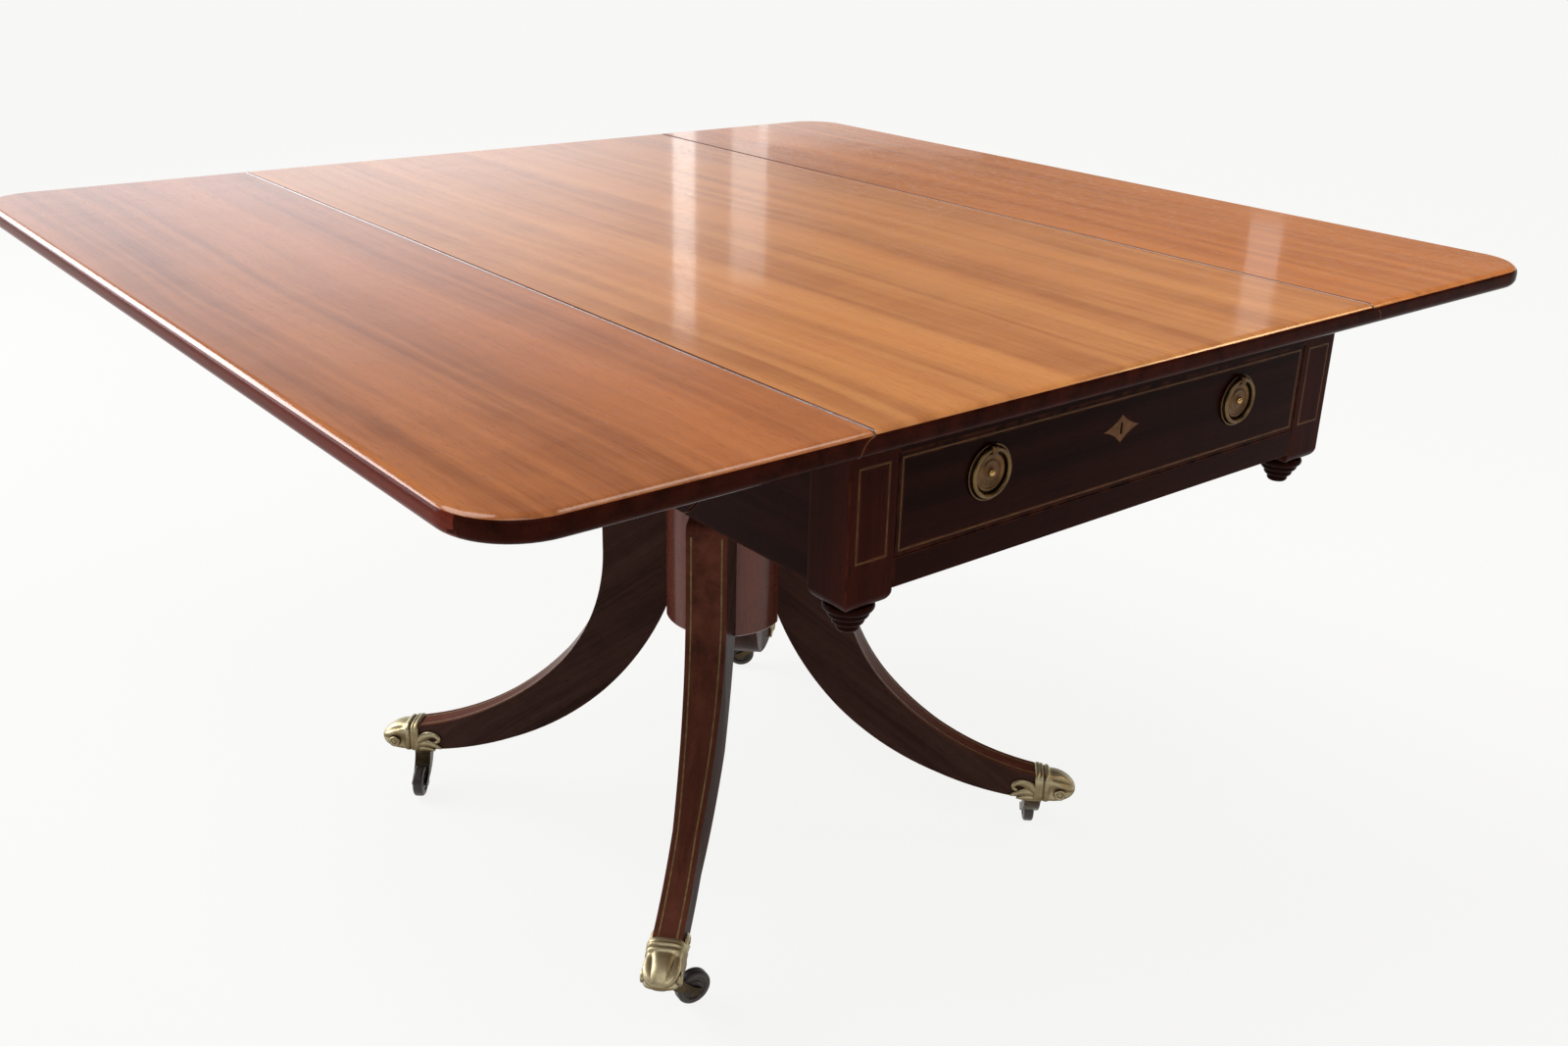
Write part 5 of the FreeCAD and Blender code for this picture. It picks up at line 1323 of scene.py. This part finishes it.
@dataclass
class Castors:
    """Cast toe caps with their leaf scrolls, over plain horns and wheels.

    The tables are in millimetres: reach, half width, sole, crown and share of the flutes of each section of
    the toe, radius and height of the rosette, and reach, height and half width along each lobe of the scroll.
    """

    finishes: Finishes
    sides: int = 96
    lobes: int = 3
    toe_start: float = 398.0
    toe_blend: float = 18.0
    crown_curve: Tuple[float, float] = (0.52, 0.2)
    sole_curve: Tuple[float, float] = (0.36, 0.4)
    leg_half: float = 15.4
    scroll_columns: int = 5
    scroll_fall: float = 0.75
    scroll_thickness: float = 1.6 * MM
    rosette_place: Triple = (411.0, 19.0, 66.5)
    sections: Sequence[Tuple[float, float, float, float, float]] = (
        (380.0, 18.4, 54.0, 89.0, 0.0), (380.4, 19.6, 53.3, 90.8, 0.0), (382.0, 20.5, 53.0, 91.9, 0.0),
        (385.0, 20.5, 53.0, 91.9, 0.0), (386.0, 19.8, 53.2, 91.0, 0.0), (386.8, 19.8, 53.2, 90.9, 0.0),
        (387.6, 20.3, 53.0, 91.4, 0.0), (389.4, 20.1, 53.0, 91.0, 0.0), (390.4, 18.9, 53.4, 89.4, 0.0),
        (391.4, 18.4, 53.5, 88.5, 0.0), (392.2, 19.2, 53.2, 89.6, 0.0), (393.8, 19.7, 53.0, 90.2, 0.0),
        (395.8, 19.7, 53.0, 90.0, 0.0), (397.4, 18.7, 53.2, 88.6, 0.0), (398.4, 18.2, 53.3, 87.4, 0.03),
        (400.5, 18.7, 53.2, 87.2, 0.10), (404.5, 19.8, 53.0, 86.9, 0.17), (409.5, 20.3, 53.2, 85.9, 0.21),
        (414.5, 20.0, 54.2, 84.0, 0.21), (419.0, 18.8, 56.2, 81.4, 0.19), (423.0, 16.6, 58.8, 78.4, 0.15),
        (426.2, 13.4, 61.6, 75.4, 0.11), (428.6, 9.4, 64.4, 72.6, 0.07), (429.7, 5.4, 66.6, 70.6, 0.03),
        (430.0, 1.4, 68.2, 69.2, 0.0),
    )
    rosette_profile: Profile = (
        (0.0, 2.5), (1.2, 2.4), (2.0, 1.9), (2.4, 1.0), (3.6, 0.8), (4.4, 1.5), (5.6, 1.9), (6.6, 1.4),
        (7.0, 0.3), (7.0, -3.0), (0.0, -3.0),
    )
    scroll_lobes: Sequence[Tuple[float, Sequence[Triple]]] = (
        (4.2, ((384, 67, 7.0), (376, 73.5, 6.6), (368.5, 78.0, 5.2), (361, 79.0, 4.4), (355.5, 76.0, 3.8),
               (354.5, 71.5, 3.3), (357.5, 68.8, 2.4), (360.5, 69.6, 1.2))),
        (3.2, ((384, 64, 6.5), (376, 66.0, 6.8), (367.5, 65.5, 5.4), (359.5, 63.2, 3.8), (354.0, 61.2, 2.0),
               (351.5, 60.4, 0.6))),
        (2.4, ((384, 58.5, 4.5), (377, 58.5, 4.8), (369, 58.0, 3.6), (363, 57.4, 2.0), (359.5, 57.0, 0.7))),
    )

    def ring(self, reach: float, half: float, sole: float, crown: float, depth: float) -> List[Vector]:
        """Points round one section: square shouldered, flat below, with flutes between the lobes.

        Args:
            reach: Distance from the middle of the table.
            half: Half width.
            sole: Lowest height.
            crown: Highest height.
            depth: Share by which the flutes cut in.

        Returns:
            The points in metres, in order round the section.
        """
        middle, rise = (sole + crown) / 2, (crown - sole) / 2
        rounder = min(max((reach - self.toe_start) / self.toe_blend, 0.0), 1.0)
        points = []
        for count in range(self.sides):
            angle = math.tau * count / self.sides
            across, up = math.cos(angle), math.sin(angle)
            square, softer = self.crown_curve if up > 0 else self.sole_curve
            curve = square + softer * rounder
            flute = 1 - depth * (1 - abs(math.cos(self.lobes * (angle - math.pi / 2))))
            y = half * flute * math.copysign(abs(across) ** curve, across)
            z = middle + rise * flute * math.copysign(abs(up) ** curve, up)
            points.append(Vector((reach, y, z)) * MM)
        return points

    def toe(self) -> Piece:
        """Collar, bead and lobed toe, extruded section by section from a ring.

        Returns:
            The toe.
        """
        rows = [self.ring(*section) for section in self.sections]
        clear_selection()
        bpy.ops.mesh.primitive_circle_add(vertices=self.sides, radius=START_SIZE, fill_type="NGON")
        toe = bpy.context.object
        with edit_mode(toe) as mesh:
            for vertex, point in zip(mesh.verts, rows[0]):
                vertex.co = point
            for last, row in zip(rows, rows[1:]):
                bpy.ops.mesh.select_mode(type="FACE")
                bpy.ops.mesh.extrude_region_move(TRANSFORM_OT_translate={"value": (0, 0, 0)})
                mesh = bmesh.from_edit_mesh(toe.data)
                places = {tuple(round(v, 7) for v in point): new for point, new in zip(last, row)}
                for vertex in [v for v in mesh.verts if v.select]:
                    vertex.co = places[tuple(round(v, 7) for v in vertex.co)]
                bmesh.update_edit_mesh(toe.data)
            bpy.ops.mesh.select_all(action="SELECT")
            bpy.ops.mesh.normals_make_consistent(inside=False)
        return toe

    def rosette(self) -> Piece:
        """Small turned disc on the side of the toe.

        Returns:
            The disc.
        """
        disc = turned("rosette", self.rosette_profile, steps=40)
        place = Matrix.Translation(Vector(self.rosette_place) * MM)
        return move_mesh(disc, Matrix.Rotation(-math.pi / 2, 4, "X"), place)

    def lobe(self, crown: float, spine: Sequence[Triple]) -> Piece:
        """One lobe of the leaf scroll: a grid bent along a spine, crowned along its middle.

        Args:
            crown: How far the middle stands out, in millimetres.
            spine: Reach, height and half width at each step, in millimetres.

        Returns:
            The lobe, with its thickness.
        """
        columns, rows = self.scroll_columns, len(spine)
        clear_selection()
        bpy.ops.mesh.primitive_grid_add(
            x_subdivisions=columns - 1, y_subdivisions=rows - 1, size=START_SIZE,
        )
        leaf = bpy.context.object
        with edit_mode(leaf) as mesh:
            order = sorted(mesh.verts, key=lambda vertex: (round(vertex.co.y, 6), vertex.co.x))
            for row, (reach, height, half) in enumerate(spine):
                ahead, behind = spine[min(row + 1, rows - 1)], spine[max(row - 1, 0)]
                along = Vector((ahead[0] - behind[0], 0.0, ahead[1] - behind[1])).normalized()
                side = Vector((-along.z, 0.0, along.x))
                for column in range(columns):
                    share = 2 * column / (columns - 1) - 1
                    out = self.leg_half + crown * (1 - self.scroll_fall * share * share)
                    point = Vector((reach, out, height)) + side * half * share
                    order[row * columns + column].co = point * MM
            bmesh.update_edit_mesh(leaf.data)
            bpy.ops.mesh.select_all(action="SELECT")
            bpy.ops.mesh.normals_make_consistent(inside=False)
        take(leaf)
        for kind, settings in (
            ("SOLIDIFY", {"thickness": self.scroll_thickness, "offset": 0.0}),
            ("SUBSURF", {"levels": 2, "render_levels": 2}),
        ):
            modifier = leaf.modifiers.new(kind.lower(), kind)
            for word, setting in settings.items():
                setattr(modifier, word, setting)
            bpy.ops.object.modifier_apply(modifier=modifier.name)
        return leaf

    def scroll(self) -> Piece:
        """Leaf scroll behind the collar, on one side of the leg."""
        return joined("scroll", [self.lobe(crown, spine) for crown, spine in self.scroll_lobes])

    def build(self) -> None:
        """Model one cap, set a copy on each leg, and dress the horns and wheels."""
        model = self.toe()
        for make in (self.rosette, self.scroll):
            near = make()
            far = move_mesh(twin(near, "far_side"), Matrix.Scale(-1, 4, Vector((0, 1, 0))))
            model = joined("toe_cap", [model, near, far])
        smooth(model, degrees=50.0, weighted=False)
        for corner, degrees in CORNERS.items():
            cap = twin(model, f"toe_cap_{corner}")
            move_mesh(cap, Matrix.Rotation(math.radians(degrees), 4, "Z"))
            self.finishes.settle(cap, "frame", "brass", CAP_BRASS, "castor_caps")
            self.finishes.dress(**{f"castor_horn_{corner}": HORN_BRASS, f"castor_wheel_{corner}": WHEEL})
        bpy.data.objects.remove(model)


@dataclass
class Studio:
    """Pale floor, soft daylight from behind on the left, and the camera."""

    floor_size: float = 80.0
    place: Triple = (-0.9821, -1.3097, 1.0719)
    azimuth: float = 39.233
    down: float = 22.765
    roll: float = 1.549
    focal_pixels: float = 1567.7
    image_width: float = 1600.0
    sensor: float = 36.0
    strip_distance: float = 7.0
    glow_side: Triple = (0.21, 0.978, 0.0)

    def build(self) -> None:
        """Lay the floor, set the light and place the camera."""
        bpy.context.scene.view_settings.view_transform = "Standard"
        self.lay_floor()
        self.set_light()
        self.set_sky()
        self.place_camera()

    def lay_floor(self) -> None:
        """Pale floor that stays near white and keeps the table's shadow."""
        clear_selection()
        bpy.ops.mesh.primitive_plane_add(size=self.floor_size)
        floor = bpy.context.object
        floor.name = "studio_floor"
        material = bpy.data.materials.new("pale_floor")
        wires = start_nodes(material)
        matt = wires.node("ShaderNodeBsdfDiffuse", Color=(0.70, 0.70, 0.69, 1.0))
        glow = wires.node("ShaderNodeEmission", Color=(0.99, 0.99, 0.975, 1.0), Strength=1.0)
        ray = wires.node("ShaderNodeLightPath").outputs
        seen = wires.sum("MAXIMUM", ray["Is Camera Ray"], ray["Is Glossy Ray"])
        seen = wires.sum("MAXIMUM", seen, ray["Is Transmission Ray"])
        mixed = wires.node("ShaderNodeMixShader", Fac=wires.times(seen, 0.88))
        wires.feed(mixed.inputs[1], matt.outputs[0])
        wires.feed(mixed.inputs[2], glow.outputs[0])
        wires.node("ShaderNodeOutputMaterial", Surface=mixed.outputs[0])
        paint_piece(floor, material)

    def set_light(self) -> None:
        """Wide soft daylight from behind on the left, a weak fill, three lit panels and four strips."""
        for name, direction, strength, spread, colour in (
            ("daylight", (-0.55, 0.75, 1.35), 1.7, 42, (1.0, 0.985, 0.97)),
            ("fill", (-0.6, -1.0, 1.5), 0.75, 40, (1.0, 0.98, 0.96)),
        ):
            light = self.hang_lamp(name, "SUN", strength, colour, Vector(direction))
            light.data.angle = math.radians(spread)
        self.hang_panel("window", (-2.0, 3.3, 1.9), (3.2, 1.7), 7.0, (0.93, 0.95, 1.0))
        self.hang_panel("lamp", (3.0, -1.5, 2.7), (1.0, 0.6), 12.0, (1.0, 0.72, 0.42))
        self.hang_panel("ceiling", (0.6, -0.7, 2.3), (0.8, 0.8), 4.2, (1.0, 0.93, 0.83), flat=True)
        for name, degrees, low, high, width, glow in (
            ("strip_left", 35.2, 1.30, 2.36, 0.10, 1.0), ("strip_middle", 37.6, 1.34, 2.10, 0.16, 0.5),
            ("strip_low", 42.0, 1.25, 1.48, 1.00, 0.4), ("strip_right", 56.4, 1.70, 2.35, 0.14, 0.4),
        ):
            turn = math.radians(degrees)
            place = Vector(self.place) + self.strip_distance * Vector((math.sin(turn), math.cos(turn), 0.0))
            place.z = (low + high) / 2
            self.hang_panel(name, tuple(place), (width, high - low), glow, (1.0, 0.98, 0.95))

    def hang_lamp(self, name: str, kind: str, strength: float, colour: Triple, facing: Vector) -> Piece:
        """Hang a lamp.

        Args:
            name: Name of the light.
            kind: Blender's name of its type.
            strength: Its energy.
            colour: Colour of the light.
            facing: Direction from the table to the lamp.

        Returns:
            The light.
        """
        light = add_object(name, bpy.data.lights.new(name, kind))
        light.data.energy, light.data.color = strength, colour
        light.rotation_euler = facing.to_track_quat("Z", "Y").to_euler()
        return light

    def hang_panel(
        self, name: str, place: Triple, size: Tuple[float, float], glow: float, colour: Triple,
        flat: bool = False,
    ) -> None:
        """Hang a light panel upright, facing the table, or flat, facing down.

        Args:
            name: Name of the light.
            place: Middle of the panel.
            size: Width and height.
            glow: Brightness of its face, where 1 is white.
            colour: Colour of the light.
            flat: Whether it lies flat.
        """
        facing = UP if flat else Vector((place[0], place[1], 0.0))
        light = self.hang_lamp(name, "AREA", glow * size[0] * size[1] * math.pi, colour, facing)
        light.data.shape = "RECTANGLE"
        light.data.size, light.data.size_y = size
        light.location = place
        light.visible_camera = False

    def set_sky(self) -> None:
        """White at the horizon, a glow behind on the left, and dim elsewhere to give the polish depth."""
        world = bpy.data.worlds.new("studio")
        bpy.context.scene.world = world
        wires = start_nodes(world)
        direction = wires.node("ShaderNodeTexCoord").outputs["Generated"]
        height = wires.node("ShaderNodeSeparateXYZ", Vector=direction).outputs["Z"]
        toward = wires.step(wires.vector("DOT_PRODUCT", direction, self.glow_side), 0.84, 0.98)
        glow = wires.sum("ADD", wires.times(toward, 1.3), 0.07)
        level = wires.sum("ADD", wires.times(glow, wires.step(height, 0.42, 0.10)), 0.08)
        level = wires.paint(1.0, level, (0.94, 1.0, 1.08, 1.0), "MULTIPLY")
        colour = wires.paint(wires.step(height, 0.15, 0.08), level, (0.97, 0.97, 0.96, 1.0))
        sky = wires.node("ShaderNodeBackground", Color=colour, Strength=1.0)
        wires.node("ShaderNodeOutputWorld", Surface=sky.outputs[0])

    def place_camera(self) -> None:
        """Camera where the photograph was taken from."""
        turn, down, roll = (math.radians(angle) for angle in (self.azimuth, self.down, self.roll))
        ahead = Vector((math.sin(turn) * math.cos(down), math.cos(turn) * math.cos(down), -math.sin(down)))
        right = ahead.cross(UP).normalized()
        above = right.cross(ahead)
        across = math.cos(roll) * right + math.sin(roll) * above
        upward = math.cos(roll) * above - math.sin(roll) * right
        lens = bpy.data.cameras.new("photograph")
        lens.sensor_width = self.sensor
        lens.lens = self.focal_pixels / self.image_width * self.sensor
        camera = add_object("photograph", lens)
        rotation = Matrix((across, upward, -ahead)).transposed().to_4x4()
        camera.matrix_world = Matrix.Translation(Vector(self.place)) @ rotation
        bpy.context.scene.camera = camera


def write_sizes() -> None:
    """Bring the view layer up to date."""
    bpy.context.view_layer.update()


def main() -> None:
    """Build and dress each sub-assembly in turn."""
    logging.basicConfig(level=logging.INFO, format="%(message)s")
    clear_selection()
    finishes = Finishes()
    for part in (
        Top(finishes), Frame(finishes), Drawer(finishes), RingPulls(finishes), Pedestal(finishes),
        Castors(finishes), Studio(),
    ):
        LOG.info("building %s", type(part).__name__)
        part.build()
    write_sizes()


if __name__ == "__main__":
    main()
